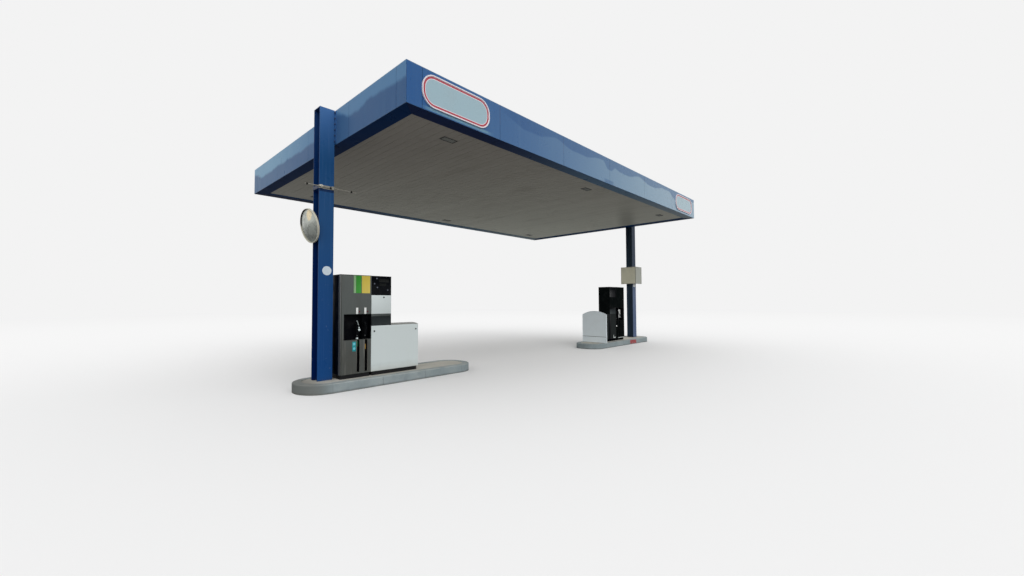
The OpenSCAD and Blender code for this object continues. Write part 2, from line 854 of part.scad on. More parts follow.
// Concrete inside the kerb stones, cast round the foot of a column
module island_slab(x, length, column_x) {
    inset = kerb_width + fit;
    color(CONCRETE) difference() {
        translate([x + length / 2, -island_shift, 0]) linear_extrude(island_level)
            round_rectangle(length - 2 * inset, island_width - 2 * inset, island_corner - inset);
        translate([column_x - foot_plate / 2 - fit, -foot_plate / 2 - fit, -over])
            cube([foot_plate + 2 * fit, foot_plate + 2 * fit, foot_thickness + fit + over]);
        translate([column_x - column_width / 2 - fit, -column_depth / 2 - fit, -over])
            cube([column_width + 2 * fit, column_depth + 2 * fit, kerb_height]);
    }
}

module left_island_slab() island_slab(left_island_x, left_island_length, 0);

module right_island_slab() island_slab(right_island_x, right_island_length, right_column_x);

// Steel band round the left column, with a bar for a banner in front of it
module banner_bar() {
    outer_x = column_width / 2 + fit + band_thickness;
    outer_y = column_depth / 2 + fit + band_thickness;
    bar_y = -outer_y - bar_diameter / 2 - clamp_wall;
    color(ZINC) {
        translate([0, 0, band_level - band_height / 2]) linear_extrude(band_height) difference() {
            square([2 * outer_x, 2 * outer_y], center = true);
            square([column_width + 2 * fit, column_depth + 2 * fit], center = true);
        }
        translate([bar_shift - bar_length / 2, bar_y, band_level]) rotate([0, 90, 0])
            cylinder(d = bar_diameter, h = bar_length);
        for (side = [-1, 1])
            translate([side * bar_bracket - clamp_width / 2, bar_y - bar_diameter / 2 - clamp_wall,
                band_level - band_height / 2])
                cube([clamp_width, -outer_y - bar_y + bar_diameter / 2 + clamp_wall + over, band_height]);
        for (place = bar_clamps)
            translate([bar_shift + place * bar_length / 2 - clamp_width / 2, bar_y, band_level])
                rotate([0, 90, 0]) cylinder(d = bar_diameter + 2 * clamp_wall, h = clamp_width);
    }
}

// Puts a piece that is drawn along Z at the mirror's place, facing where the mirror faces
module at_mirror() {
    translate([-mirror_reach, 0, mirror_level]) rotate([0, 0, mirror_turn])
        rotate([0, -90 - mirror_dip, 0]) children();
}

mirror_radius = mirror_diameter / 2;

// Rim and shallow back of the traffic mirror
module mirror_shell() {
    color(BLACK) at_mirror() rotate_extrude() polygon([
        [0, -mirror_back],
        [mirror_radius * shell_flat, -mirror_back],
        [mirror_radius, -mirror_seat],
        [mirror_radius, mirror_lip],
        [mirror_radius - mirror_rim, mirror_lip],
        [mirror_radius - mirror_rim, 0],
        [0, 0]
    ]);
}

// Domed face of the mirror, inside its rim
module mirror_face() {
    face_radius = mirror_radius - mirror_rim - fit;
    dome = mirror_curve - sqrt(mirror_curve * mirror_curve - face_radius * face_radius);
    color(GLASS) at_mirror() rotate_extrude() intersection() {
        translate([0, dome + mirror_glass - mirror_curve]) circle(mirror_curve, $fn = 360);
        square([face_radius, dome + mirror_glass + over]);
    }
}

// Arm from the column's web to the back of the mirror
module mirror_bracket() {
    web_face = -column_web / 2;
    color(ZINC) {
        translate([web_face - bracket_plate, -bracket_side / 2, mirror_level - bracket_side / 2])
            cube([bracket_plate, bracket_side, bracket_side]);
        translate([web_face - bracket_arm, 0, mirror_level]) rotate([0, 90, 0])
            cylinder(d = bracket_tube, h = bracket_arm - bracket_plate + over);
        difference() {
            translate([web_face - bracket_arm, 0, mirror_level]) sphere(d = bracket_tube + 2 * clamp_wall);
            at_mirror() translate([0, 0, -mirror_back]) cylinder(d = bracket_side, h = bracket_side);
        }
    }
}

// Notice board with two sides, held off the right column by battens
module notice_board() {
    tip_x = right_column_x - column_width / 2;
    side_x = tip_x - batten - board_thickness;
    side_y = board_shift - board_width / 2;
    color(CREAM) {
        translate([side_x, side_y, board_level]) cube([board_thickness, board_width, board_height]);
        translate([side_x, side_y, board_level])
            cube([board_front_width, board_thickness, board_height]);
        for (z = [board_level + batten, board_level + board_height - 2 * batten]) {
            translate([side_x + board_thickness - over, -column_depth / 2, z])
                cube([batten + over, column_depth, batten]);
            translate([tip_x + batten, side_y + board_thickness - over, z])
                cube([column_width - 2 * batten, over - column_depth / 2 - side_y - board_thickness,
                    batten]);
        }
    }
}

// Puts a pump on the left island, then its mirror image on the right one.
// In a pump X runs from the tower to the cabinet and Y from its front to the rear.
module at_left_pump() {
    translate([column_width / 2 + left_pump_gap, -island_shift - pump_depth / 2, island_level])
        children();
}

module at_right_pump() {
    translate([right_column_x - column_width / 2 - right_pump_gap, -island_shift - pump_depth / 2,
        island_level]) mirror([1, 0, 0]) children();
}

// Outer body of a housing on its plinth
module housing(length, height) {
    translate([0, 0, plinth_height]) cube([length, pump_depth, height - plinth_height]);
    translate([plinth_inset, plinth_inset, 0])
        cube([length - 2 * plinth_inset, pump_depth - 2 * plinth_inset, plinth_height + over]);
}

// The room inside a housing, with the opening in its floor
module housing_room(length, height) {
    room_floor = plinth_height + pump_sheet;
    opening_edge = plinth_inset + pump_sheet;
    translate([pump_sheet, pump_sheet, room_floor])
        cube([length - 2 * pump_sheet, pump_depth - 2 * pump_sheet, height - room_floor - pump_sheet]);
    translate([opening_edge, opening_edge, -over])
        cube([length - 2 * opening_edge, pump_depth - 2 * opening_edge, room_floor + 2 * over]);
}

// Recess for the nozzles and, below it, the slots for the hoses
module tower_pockets(grow) {
    translate([corner_post - grow, -over, boot_level - grow])
        cube([boot_width + 2 * grow, boot_depth + grow + over, boot_height + 2 * grow]);
    for (i = [0, 1])
        translate([first_nozzle + i * nozzle_pitch - slot_width / 2 - grow, -over, slot_foot - grow])
            cube([slot_width + 2 * grow, slot_depth + grow + over, boot_level - slot_foot + over + 2 * grow]);
}

module pump_tower() {
    color(STEEL) difference() {
        housing(tower_width, tower_height);
        difference() {
            housing_room(tower_width, tower_height);
            tower_pockets(pump_sheet);
        }
        tower_pockets(0);
    }
}

// The curved lid as a solid, with its surface lower and its sides further in by given amounts
module lid(lower, ledge) {
    length = cabinet_length - head_width;
    arch = lid_rise - pump_sheet;
    radius = (pump_depth * pump_depth / 4 + arch * arch) / (2 * arch);
    intersection() {
        translate([head_width + ledge, pump_depth / 2, cabinet_height + lid_rise - radius])
            rotate([0, 90, 0]) cylinder(r = radius - lower, h = length - 2 * ledge);
        translate([head_width, ledge, cabinet_height - pump_sheet - over])
            cube([length, pump_depth - 2 * ledge, lid_rise + 2 * pump_sheet + over]);
    }
}

module pump_cabinet() {
    color(WHITE) translate([tower_width, 0, 0]) {
        difference() {
            union() {
                housing(cabinet_length, cabinet_height);
                lid(0, 0);
            }
            housing_room(cabinet_length, cabinet_height);
            lid(pump_sheet, lid_ledge);
        }
        for (span = [[plinth_height + door_sheet, door_split - door_sheet],
            [door_split, cabinet_height - door_edge]])
            translate([door_edge, -door_sheet, span[0]])
                cube([cabinet_length - 2 * door_edge, door_sheet + over, span[1] - span[0]]);
        for (x = [lock_inset, cabinet_length - lock_inset])
            translate([x, 0, cabinet_height - lock_drop]) rotate([90, 0, 0])
                cylinder(d = lock_diameter, h = lock_height);
    }
}

// Display head over the cabinet's end, with a thick front that has three sunk fields
module pump_head() {
    height = tower_height - cabinet_height;
    fields = [[0, head_band], [head_band, head_band + head_panel], [head_band + head_panel, height]];
    color(BLACK) translate([tower_width, 0, cabinet_height]) difference() {
        cube([head_width, pump_depth, height]);
        translate([pump_sheet, head_front, -over])
            cube([head_width - 2 * pump_sheet, pump_depth - head_front - pump_sheet,
                height - pump_sheet + over]);
        for (field = fields)
            translate([field_edge, -over, field[0] + field_edge / 2])
                cube([head_width - 2 * field_edge, field_depth + over, field[1] - field[0] - field_edge]);
    }
}

// Black liner of the recess, with a rib between the two nozzles and notches for the hoses
module nozzle_panel() {
    color(BLACK) translate([corner_post + fit, 0, boot_level + fit]) difference() {
        union() {
            difference() {
                cube([boot_width - 2 * fit, boot_depth - fit, boot_height - 2 * fit]);
                translate([liner, -over, liner])
                    cube([boot_width - 2 * fit - 2 * liner, boot_depth - fit - liner + over,
                        boot_height - 2 * fit - 2 * liner]);
            }
            translate([first_nozzle + nozzle_pitch / 2 - corner_post - liner / 2, 0, 0])
                cube([liner, boot_depth - liner, boot_height - 2 * fit]);
        }
        for (i = [0, 1])
            translate([first_nozzle + i * nozzle_pitch - corner_post - fit - slot_width / 2, -over, -over])
                cube([slot_width, slot_depth + 2 * over, liner + 2 * over]);
    }
}

// Two fuelling nozzles that hang by their spouts on the liner's rear wall
module nozzles() {
    rear = boot_depth - liner - fit;
    color(BLACK) for (i = [0, 1])
        translate([first_nozzle + i * nozzle_pitch, hose_y, boot_level + nozzle_foot]) {
            cylinder(d = grip_diameter, h = grip_length);
            translate([0, 0, grip_length - over]) cylinder(d = nozzle_head, h = nozzle_top + over);
            translate([0, 0, grip_length + nozzle_top / 2]) rotate([-90, 0, 0])
                cylinder(d = spout_diameter, h = rear - hose_y);
            translate([-lever_width / 2, -nozzle_head, 0]) cube([lever_width, lever_width, grip_length]);
            for (z = [0, grip_length - lever_width])
                translate([-lever_width / 2, -nozzle_head, z])
                    cube([lever_width, nozzle_head, lever_width]);
        }
}

// Two hoses that hang from the nozzles, turn at the foot of the slots and rise to the rear wall
module hoses() {
    turn = hose_foot + hose_bend;
    top = boot_level + nozzle_foot;
    color(BLACK) for (i = [0, 1])
        translate([first_nozzle + i * nozzle_pitch, hose_y, 0]) {
            translate([0, 0, turn]) cylinder(d = hose_diameter, h = top - turn);
            translate([0, hose_bend, turn]) rotate([90, 0, 90]) rotate([0, 0, 180])
                rotate_extrude(angle = 180) translate([hose_bend, 0]) circle(d = hose_diameter);
            translate([0, 2 * hose_bend, turn]) cylinder(d = hose_diameter, h = hose_rise);
            translate([0, 2 * hose_bend, turn + hose_rise]) sphere(d = coupling);
            translate([0, 2 * hose_bend, turn + hose_rise]) rotate([-90, 0, 0])
                cylinder(d = hose_diameter, h = slot_depth - hose_y - 2 * hose_bend);
        }
}

module left_pump_tower() at_left_pump() pump_tower();

module right_pump_tower() at_right_pump() pump_tower();

module left_pump_cabinet() at_left_pump() pump_cabinet();

module right_pump_cabinet() at_right_pump() pump_cabinet();

module left_pump_head() at_left_pump() pump_head();

module right_pump_head() at_right_pump() pump_head();

module left_nozzle_panel() at_left_pump() nozzle_panel();

module right_nozzle_panel() at_right_pump() nozzle_panel();

module left_nozzles() at_left_pump() nozzles();

module right_nozzles() at_right_pump() nozzles();

module left_hoses() at_left_pump() hoses();

module right_hoses() at_right_pump() hoses();

// Outline of the end panel with its arched top, smaller all round by the given amount
module end_panel_outline(smaller) {
    half = end_panel_width / 2;
    radius = (half * half + end_panel_rise * end_panel_rise) / (2 * end_panel_rise);
    intersection() {
        translate([smaller - half, smaller])
            square([end_panel_width - 2 * smaller, end_panel_height + end_panel_rise]);
        translate([0, end_panel_height + end_panel_rise - radius]) circle(radius - smaller);
    }
}

// Folded panel across the island at the right pump's end, with a sunk field and a seam
module right_end_panel() {
    pump_end = right_column_x - column_width / 2 - right_pump_gap - tower_width - cabinet_length;
    color(WHITE) translate([pump_end - end_panel_thickness, -island_shift, kerb_height]) difference() {
        rotate([90, 0, 90]) linear_extrude(end_panel_thickness) end_panel_outline(0);
        translate([-over, 0, 0]) rotate([90, 0, 90]) linear_extrude(panel_field + over)
            end_panel_outline(panel_border);
        translate([-over, -end_panel_width / 2 - over, panel_seam_level])
            cube([2 * panel_field + over, end_panel_width + 2 * over, panel_seam]);
    }
}

left_column();
right_column();
main_beam();
ribs();
edge_channels();
fascia_posts();
fascia_rails();
purlins();
front_deck();
rear_deck();
ridge_cap();
front_gutter();
rear_gutter();
ceiling_rails();
ceiling_planks();
front_fascia();
rear_fascia();
left_fascia();
right_fascia();
ceiling_lights();
light_glasses();
left_sign_plate();
right_sign_plate();
left_kerb();
right_kerb();
left_island_slab();
right_island_slab();
banner_bar();
mirror_bracket();
mirror_shell();
mirror_face();
notice_board();
left_pump_tower();
left_pump_cabinet();
left_pump_head();
left_nozzle_panel();
left_nozzles();
left_hoses();
right_pump_tower();
right_pump_cabinet();
right_pump_head();
right_nozzle_panel();
right_nozzles();
right_hoses();
right_end_panel();
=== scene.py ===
from math import atan, cos, pi, radians, sin

import bpy
from bpy.props import FloatProperty, FloatVectorProperty, PointerProperty
from mathutils import Matrix, Vector


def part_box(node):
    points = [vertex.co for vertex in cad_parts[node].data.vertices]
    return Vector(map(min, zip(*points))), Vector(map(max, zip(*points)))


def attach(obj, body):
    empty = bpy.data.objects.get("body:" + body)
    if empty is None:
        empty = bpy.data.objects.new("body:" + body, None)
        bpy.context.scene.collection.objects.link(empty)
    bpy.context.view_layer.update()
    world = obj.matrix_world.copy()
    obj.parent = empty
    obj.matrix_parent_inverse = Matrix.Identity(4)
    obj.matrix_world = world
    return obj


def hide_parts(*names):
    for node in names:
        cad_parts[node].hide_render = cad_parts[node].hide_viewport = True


bl_info = {
    "name": "Filling station canopy",
    "version": (1, 0, 0),
    "blender": (4, 5, 0),
    "location": "3D View > Sidebar > Canopy",
    "description": "Finishes and small pieces for a filling station canopy with its pumps",
    "category": "Object",
}

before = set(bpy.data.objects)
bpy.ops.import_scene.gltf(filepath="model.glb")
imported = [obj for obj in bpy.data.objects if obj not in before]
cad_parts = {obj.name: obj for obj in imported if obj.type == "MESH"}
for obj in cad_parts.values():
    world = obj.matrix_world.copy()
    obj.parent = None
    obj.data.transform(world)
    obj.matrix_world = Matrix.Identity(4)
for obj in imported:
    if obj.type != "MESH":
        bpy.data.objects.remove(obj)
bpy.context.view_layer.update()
X, Y, Z = Vector((1, 0, 0)), Vector((0, 1, 0)), Vector((0, 0, 1))

# Levels and places of the canopy in metres, as the solids have them
FRONT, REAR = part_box("front_fascia")[0].y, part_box("rear_fascia")[1].y
LEFT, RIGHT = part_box("left_fascia")[0].x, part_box("right_fascia")[1].x
FASCIA_LOW, FASCIA_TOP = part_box("front_fascia")[0].z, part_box("front_fascia")[1].z
LONG_PANELS, END_PANELS, CORNER_PANEL = 6, 4, 0.270
RETURN_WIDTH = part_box("left_fascia")[1].x - LEFT
FIRST_PLANK, PLANK, PLANKS = 0.255, 0.315, 35
DECK_FOLD = 0.250
LIGHTS = [(x, y) for x in (1.447, 5.857, 10.267) for y in (-1.735, 3.985)]
MIRROR = Vector((-0.228, 0, 2.855))
FAR_COLUMN = (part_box("right_column")[0].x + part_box("right_column")[1].x) / 2
FLANGE = -0.125
KERB_TOP, KERB_WIDTH, KERB_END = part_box("left_kerb")[1].z, 0.140, 0.440
PUMPS = {"left": (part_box("left_pump_tower")[0].x, 1), "right": (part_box("right_pump_tower")[1].x, -1)}
PUMP_FRONT, PUMP_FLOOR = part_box("left_pump_tower")[0].y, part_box("left_pump_tower")[0].z
PLINTH = PUMP_FLOOR + 0.075
NOZZLES = (335, 485)

# The fascia's two tones and the wavy edge between them are a painted reflection of the surroundings in the gloss
# paint.
# Edge between the fascia's two tones: its share of the height from the top, the size and scale of its waves, and
# hills with their middle, half width in metres and rise, along X in front and along Y at the ends
LONG_EDGE = 0.12, 0.10, 1.4, ((2.9, 0.85, 0.20), (4.5, 0.95, 0.18), (5.8, 0.30, 0.26), (6.55, 0.85, 0.17),
                              (8.15, 0.80, 0.15), (9.85, 0.50, 0.25))
END_EDGE = 0.32, 0.34, 1.9, ((-1.7, 1.3, -0.15), (-0.05, 0.75, -0.36), (5.0, 1.1, -0.26))


def tone(red, green, blue):
    """A colour of 0 to 255 as Blender's own numbers."""
    parts = (value / 255 for value in (red, green, blue))
    return tuple(p / 12.92 if p <= 0.04045 else ((p + 0.055) / 1.055) ** 2.4 for p in parts)


BLACK, PALE = (0, 0, 0), tone(243, 243, 243)


def paint(name, description, red, green, blue):
    return FloatVectorProperty(name=name, description=description, default=tone(red, green, blue),
                               min=0.0, max=1.0, size=3, subtype="COLOR")


def length(name, description, default):
    return FloatProperty(name=name, description=description, default=default, min=0.0005, soft_max=1.0,
                         subtype="DISTANCE", unit="LENGTH")


class CanopyPaints(bpy.types.PropertyGroup):
    """Paints and metals of the roof and the columns"""
    fascia: paint("Fascia", "Gloss paint on the band round the roof", 36, 85, 141)
    # Paler tone towards the far end: painted sheen of the sky on the glancing paint; also the colour of the
    # weathering streaks.
    far_sheen_and_streaks: paint("Faded fascia", "Colour to which the fascia fades along its length", 104, 142, 167)
    # The ends' own copy of the fascia paint, greyer and paler: painted light of how the ends are lit.
    side: paint("End fascia", "Lower part of the fascias at the ends", 60, 96, 140)
    # Upper, paler part at the ends: painted reflection of the surroundings.
    side_top_reflection: paint("End fascia's top", "Upper, paler part of the fascias at the ends", 88, 131, 172)
    column: paint("Columns", "Gloss paint on the columns", 27, 73, 121)
    # Painted shade between the flanges of the columns.
    shaded: paint("Column's hollows", "Paint between the flanges of the columns", 4, 30, 84)
    # The ceiling's off-white paint made darker at the near corner: painted shade.
    ceiling: paint("Ceiling", "Matt paint on the ceiling planks at the near corner", 171, 165, 156)
    # Paler tone at the far corner: painted light.
    ceiling_far_light: paint("Far ceiling", "Cleaner paint of the ceiling at the far corner", 240, 242, 228)
    zinc: paint("Galvanised steel", "Deck, gutters, band and bar", 158, 162, 163)
    primer: paint("Primer", "Beams, ribs and channels of the roof frame", 96, 66, 58)
    light: paint("Lights", "Housings of the ceiling lights", 106, 107, 104)
    lens: paint("Light glass", "Frosted glass of the ceiling lights", 150, 152, 146)


class CanopySigns(bpy.types.PropertyGroup):
    """Sign plates, mirror and notice board"""
    field: paint("Sign field", "Ground of the oval sign plates", 150, 178, 189)
    ring: paint("Sign ring", "Ring near the edge of the sign plates", 168, 34, 58)
    rim: paint("Sign rim", "Raised rim of the sign plates", 226, 220, 226)
    ring_start: length("Ring start", "Distance of the ring from the plate's edge", 0.022)
    ring_width: length("Ring width", "Width of the ring", 0.030)
    board: paint("Notice board", "Sheet of the notice board", 216, 213, 190)
    mirror: paint("Mirror", "Tint of the traffic mirror", 195, 199, 191)
    sticker: length("Sticker radius", "Radius of the round plate on the left column", 0.080)


class CanopyGround(bpy.types.PropertyGroup):
    """Pump islands"""
    stone: paint("Kerb stones", "Concrete of the kerb stones", 140, 153, 156)
    slab: paint("Island slab", "Concrete inside the kerb", 188, 185, 174)
    mortar: paint("Mortar", "Joints between the stones", 88, 90, 86)
    mark: paint("Kerb mark", "Red patch on the far island's kerb", 158, 44, 46)


class CanopyPumps(bpy.types.PropertyGroup):
    """Pumps, nozzles and hoses"""
    steel: paint("Tower", "Brushed sheet of the pump towers", 90, 96, 94)
    profile: paint("Corner profile", "Corner profile of a tower", 128, 130, 128)
    enamel: paint("Enamel", "White sheet of the low cabinets", 203, 212, 212)
    black: paint("Black parts", "Display head, recess and nozzles", 3, 4, 8)
    # Near-black tone of the far pump's housing: painted shade.
    open: paint("Far pump", "Dark housing of the far pump", 13, 17, 17)
    first_label: paint("First label", "Label of the first product", 52, 142, 46)
    second_label: paint("Second label", "Label of the second product", 206, 184, 78)
    teal: paint("Rounded label", "Label beside the first hose", 30, 142, 148)
    tag: paint("Tags", "Small tags over the nozzles", 226, 228, 226)
    sleeve: paint("First sleeve", "Sleeve on the first hose", 18, 92, 58)
    second_sleeve: paint("Second sleeve", "Sleeve on the second hose", 150, 118, 56)


class CanopyStage(bpy.types.PropertyGroup):
    """Floor, light and camera"""
    floor: paint("Floor", "Floor as the camera sees it", 236, 236, 236)
    bounce: FloatProperty(name="Floor bounce", description="Share of the light that the floor throws back",
                          default=0.25, min=0.0, max=1.0, subtype="FACTOR")
    sky: FloatProperty(name="Sky", description="Strength of the soft light from all round", default=0.95, min=0.0)
    sun: FloatProperty(name="Lamp", description="Strength of the wide lamp in front", default=1.1, min=0.0)
    lens: FloatProperty(name="Lens", description="Focal length", default=14.446, min=1.0, unit="CAMERA")
    turn: FloatProperty(name="Turn", description="Camera's turn from the rear direction",
                        default=radians(-46.912), subtype="ANGLE")
    rise: FloatProperty(name="Rise", description="Camera's rise over the horizon", default=radians(1.956),
                        subtype="ANGLE")
    roll: FloatProperty(name="Roll", description="Camera's roll", default=radians(-0.284), subtype="ANGLE")


# ------------------------------------------------------------------ shaping

def clear():
    """Leaves edit mode and deselects everything."""
    active = bpy.context.view_layer.objects.active
    if active and active.mode != "OBJECT":
        bpy.ops.object.mode_set(mode="OBJECT")
    bpy.ops.object.select_all(action="DESELECT")


def only(*pieces):
    """Selects just these pieces and makes the first one active."""
    clear()
    for piece in pieces:
        piece.select_set(True)
    bpy.context.view_layer.objects.active = pieces[0]


def settle(piece):
    """Moves a piece's place, turn and size into its mesh."""
    only(piece)
    bpy.ops.object.transform_apply(location=True, rotation=True, scale=True)
    return piece


def shape(piece, selected="SELECT"):
    """Starts edit mode on one piece, in face mode."""
    only(piece)
    bpy.ops.object.mode_set(mode="EDIT")
    bpy.ops.mesh.select_mode(type="FACE")
    bpy.ops.mesh.select_all(action=selected)


def pick(piece, wanted):
    """Selects the faces whose middle and normal pass a test, and goes on in edit mode."""
    shape(piece, "DESELECT")
    bpy.ops.object.mode_set(mode="OBJECT")
    for face in piece.data.polygons:
        face.select = wanted(face.center, face.normal)
    bpy.ops.object.mode_set(mode="EDIT")


def facing(direction):
    return lambda middle, normal: normal.dot(direction) > 0.9


def tidy(piece):
    """Merges doubles and turns the faces outwards."""
    shape(piece)
    bpy.ops.mesh.remove_doubles(threshold=0.00001)
    bpy.ops.mesh.normals_make_consistent(inside=False)
    clear()
    return piece


def smooth(piece, angle=40):
    only(piece)
    bpy.ops.object.shade_smooth_by_angle(angle=radians(angle))
    return piece


def soften(piece, width, segments=2):
    """Rounds the sharp edges and shades the rest smooth."""
    only(piece)
    rounding = piece.modifiers.new("Rounding", "BEVEL")
    rounding.width = width
    rounding.segments = segments
    rounding.limit_method = "ANGLE"
    rounding.angle_limit = radians(40)
    bpy.ops.object.modifier_apply(modifier=rounding.name)
    return smooth(piece)


def slab(low, high, edge=0.001, segments=2):
    """A rectangular piece between two corners, with rounded edges."""
    low, high = Vector(map(min, low, high)), Vector(map(max, low, high))
    clear()
    bpy.ops.mesh.primitive_cube_add(size=1, location=(low + high) / 2)
    piece = bpy.context.object
    piece.scale = high - low
    settle(piece)
    return soften(piece, edge, segments) if edge else piece


def sunk_slab(low, high, direction, border, depth, edge=0.001):
    """A slab whose face towards a direction has a sunk field inside a border."""
    piece = slab(low, high, 0)
    pick(piece, facing(direction))
    bpy.ops.mesh.inset(thickness=border)
    bpy.ops.mesh.extrude_region_move(TRANSFORM_OT_translate={"value": -depth * direction})
    return soften(tidy(piece), edge)


def ring_slab(low, high, direction, width, edge=0.001):
    """A rectangular ring between two corners, open along a direction."""
    piece = slab(low, high, 0)
    pick(piece, lambda middle, normal: abs(normal.dot(direction)) > 0.9)
    bpy.ops.mesh.inset(thickness=width)
    bpy.ops.mesh.bridge_edge_loops()
    return soften(tidy(piece), edge)


def turned(rings, place, aim=Z, sides=24, edge=0.0):
    """A round piece from rings of distance and radius along an aim, closed at both ends."""
    clear()
    start, radius = rings[0]
    bpy.ops.mesh.primitive_circle_add(vertices=sides, radius=radius, fill_type="NGON", location=(0, 0, start))
    piece = settle(bpy.context.object)
    shape(piece)
    for (here, wide), (there, next_wide) in zip(rings, rings[1:]):
        bpy.ops.mesh.extrude_region_move(TRANSFORM_OT_translate={"value": (0, 0, there - here)})
        size = next_wide / wide
        bpy.ops.transform.resize(value=(size, size, 1), center_override=(0, 0, there))
    tidy(piece)
    piece.rotation_euler = Vector(aim).to_track_quat("Z", "Y").to_euler()
    piece.location = place
    settle(piece)
    return soften(piece, edge) if edge else smooth(piece)


def again(piece, shift):
    """A copy with its own mesh, moved over."""
    copy = piece.copy()
    copy.data = piece.data.copy()
    copy.data.transform(Matrix.Translation(shift))
    bpy.context.scene.collection.objects.link(copy)
    return copy


def mirrored(piece, middle):
    """A copy turned into its mirror image across a plane of constant X."""
    copy = again(piece, (0, 0, 0))
    copy.data.transform(Matrix.Translation((2 * middle, 0, 0)) @ Matrix.Scale(-1, 4, X))
    return tidy(copy)


def one(name, parts, finish):
    """Joins parts into one named piece that rides on the canopy."""
    only(*parts)
    if len(parts) > 1:
        bpy.ops.object.join()
    piece = bpy.context.view_layer.objects.active
    piece.name = name
    piece.data.name = name
    piece.data.materials.clear()
    piece.data.materials.append(finish.material)
    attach(piece, "root")
    return piece


def dress(finish, *nodes):
    """Gives solids of the canopy a finish."""
    for name in nodes:
        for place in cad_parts[name].material_slots:
            place.material = finish.material


def bolt(place, aim, across=0.030, head=0.0125):
    """A hexagon head on a washer."""
    aim = Vector(aim).normalized()
    thick = across * 0.1
    washer = turned([(0, across * 0.62), (thick, across * 0.62)], place, aim, 20, across * 0.02)
    nut = turned([(0, across * 0.577), (head * 0.8, across * 0.577), (head, across * 0.5)],
                 Vector(place) + aim * thick, aim, 6)
    only(nut, washer)
    bpy.ops.object.join()
    return nut


def screw(place, aim, radius=0.006, height=0.003):
    """A small domed screw head with a washer under it."""
    return turned([(0, radius), (height * 0.3, radius), (height * 0.35, radius * 0.72),
                   (height * 0.8, radius * 0.6), (height, radius * 0.25)], place, aim, 10)


# ---------------------------------------------------------------- finishes

def maths(operation, swapped=False):
    """A sum that Python can write on a value."""
    def apply(self, other=0.0):
        first, second = (other, self) if swapped else (self, other)
        return self.shader.node("ShaderNodeMath", {"operation": operation}, {0: first, 1: second})
    return apply


class Value:
    """A socket of a shader, with its sums and soft steps."""
    __add__, __radd__ = maths("ADD"), maths("ADD", True)
    __sub__, __rsub__ = maths("SUBTRACT"), maths("SUBTRACT", True)
    __mul__, __rmul__ = maths("MULTIPLY"), maths("MULTIPLY", True)
    __truediv__, __abs__ = maths("DIVIDE"), maths("ABSOLUTE")
    least, most = maths("MAXIMUM"), maths("MINIMUM")
    floor, root, sine = maths("FLOOR"), maths("SQRT"), maths("SINE")

    def __init__(self, shader, socket):
        self.shader = shader
        self.socket = socket

    def over(self, low, high):
        """0 under the low value, 1 over the high one, smooth between them."""
        return self.shader.node("ShaderNodeMapRange", {"interpolation_type": "SMOOTHSTEP"},
                                {0: self, 1: low, 2: high})

    def under(self, low, high):
        return 1 - self.over(low, high)

    def between(self, low, high, edge=0.001):
        return self.over(low - edge, low + edge) * self.under(high - edge, high + edge)

    def away(self, other):
        """The distance from two values at right angles."""
        return (self * self + other * other).root()


class Shader:
    """The nodes of a material or a world, written as Python."""

    def __init__(self, owner, main):
        owner.use_nodes = True
        self.tree = owner.node_tree
        self.main = self.tree.nodes[main]

    def node(self, kind, settings=None, values=None, out=0):
        """Adds one node: its settings first, then what goes into its sockets."""
        node = self.tree.nodes.new(kind)
        for name, setting in (settings or {}).items():
            setattr(node, name, setting)
        for place, value in (values or {}).items():
            self.feed(node.inputs[place], value)
        return Value(self, node.outputs[out])

    def feed(self, socket, value):
        if isinstance(value, Value):
            self.tree.links.new(value.socket, socket)
        elif socket.type == "RGBA" and len(value) == 3:
            socket.default_value = (*value, 1.0)
        else:
            socket.default_value = value

    def give(self, **values):
        """Feeds the main shader's sockets."""
        for name, value in values.items():
            self.feed(self.main.inputs[name.replace("_", " ")], value)

    def mix(self, share, first, second):
        return self.node("ShaderNodeMix", {"data_type": "RGBA"}, {0: share, 6: first, 7: second}, 2)

    def ray(self, kind):
        return self.node("ShaderNodeLightPath", out=f"Is {kind} Ray")


class Finish(Shader):
    """A material, with a look that is laid coat on coat."""

    def __init__(self, name, look, roughness=0.5, metallic=0.0, **constants):
        self.material = bpy.data.materials.new(name)
        super().__init__(self.material, "Principled BSDF")
        self.look = look
        self.point = self.node("ShaderNodeTexCoord", out="Object")
        parts = self.node("ShaderNodeSeparateXYZ", None, {0: self.point}).socket.node
        self.x, self.y, self.z = (Value(self, socket) for socket in parts.outputs)
        self.give(Roughness=roughness, Metallic=metallic, **constants)

    def noise(self, scale, detail=3.0, stretch=(1, 1, 1), rough=0.55):
        place = self.node("ShaderNodeMapping", None, {0: self.point, 3: stretch})
        return self.node("ShaderNodeTexNoise", None, {"Vector": place, "Scale": scale, "Detail": detail,
                                                      "Roughness": rough})

    def lay(self, share, *color):
        """Lays a colour over the look: three numbers of 0 to 255, or Blender's own."""
        self.look = self.mix(share, self.look, tone(*color) if len(color) == 3 else color[0])

    def bump(self, height, distance, strength, under=None):
        values = {"Strength": strength, "Distance": distance, "Height": height}
        if under is not None:
            values["Normal"] = under
        return self.node("ShaderNodeBump", None, values)

    def grain(self, scale, distance, strength, under=None):
        return self.bump(self.noise(scale, 2), distance, strength, under)

    def cover(self, roughness, normal=None):
        """Ends the finish."""
        self.give(Base_Color=self.look, Roughness=roughness)
        if normal is not None:
            self.give(Normal=normal)
        return self


def shade(color, share):
    """A colour made darker under 1 and paler over 1."""
    if share <= 1:
        return tuple(part * share for part in color)
    return tuple(part + (1 - part) * (share - 1) for part in color)


def streaked(finish):
    return finish.noise(9.0, 3, (1, 1, 0.08)).over(0.45, 0.85)


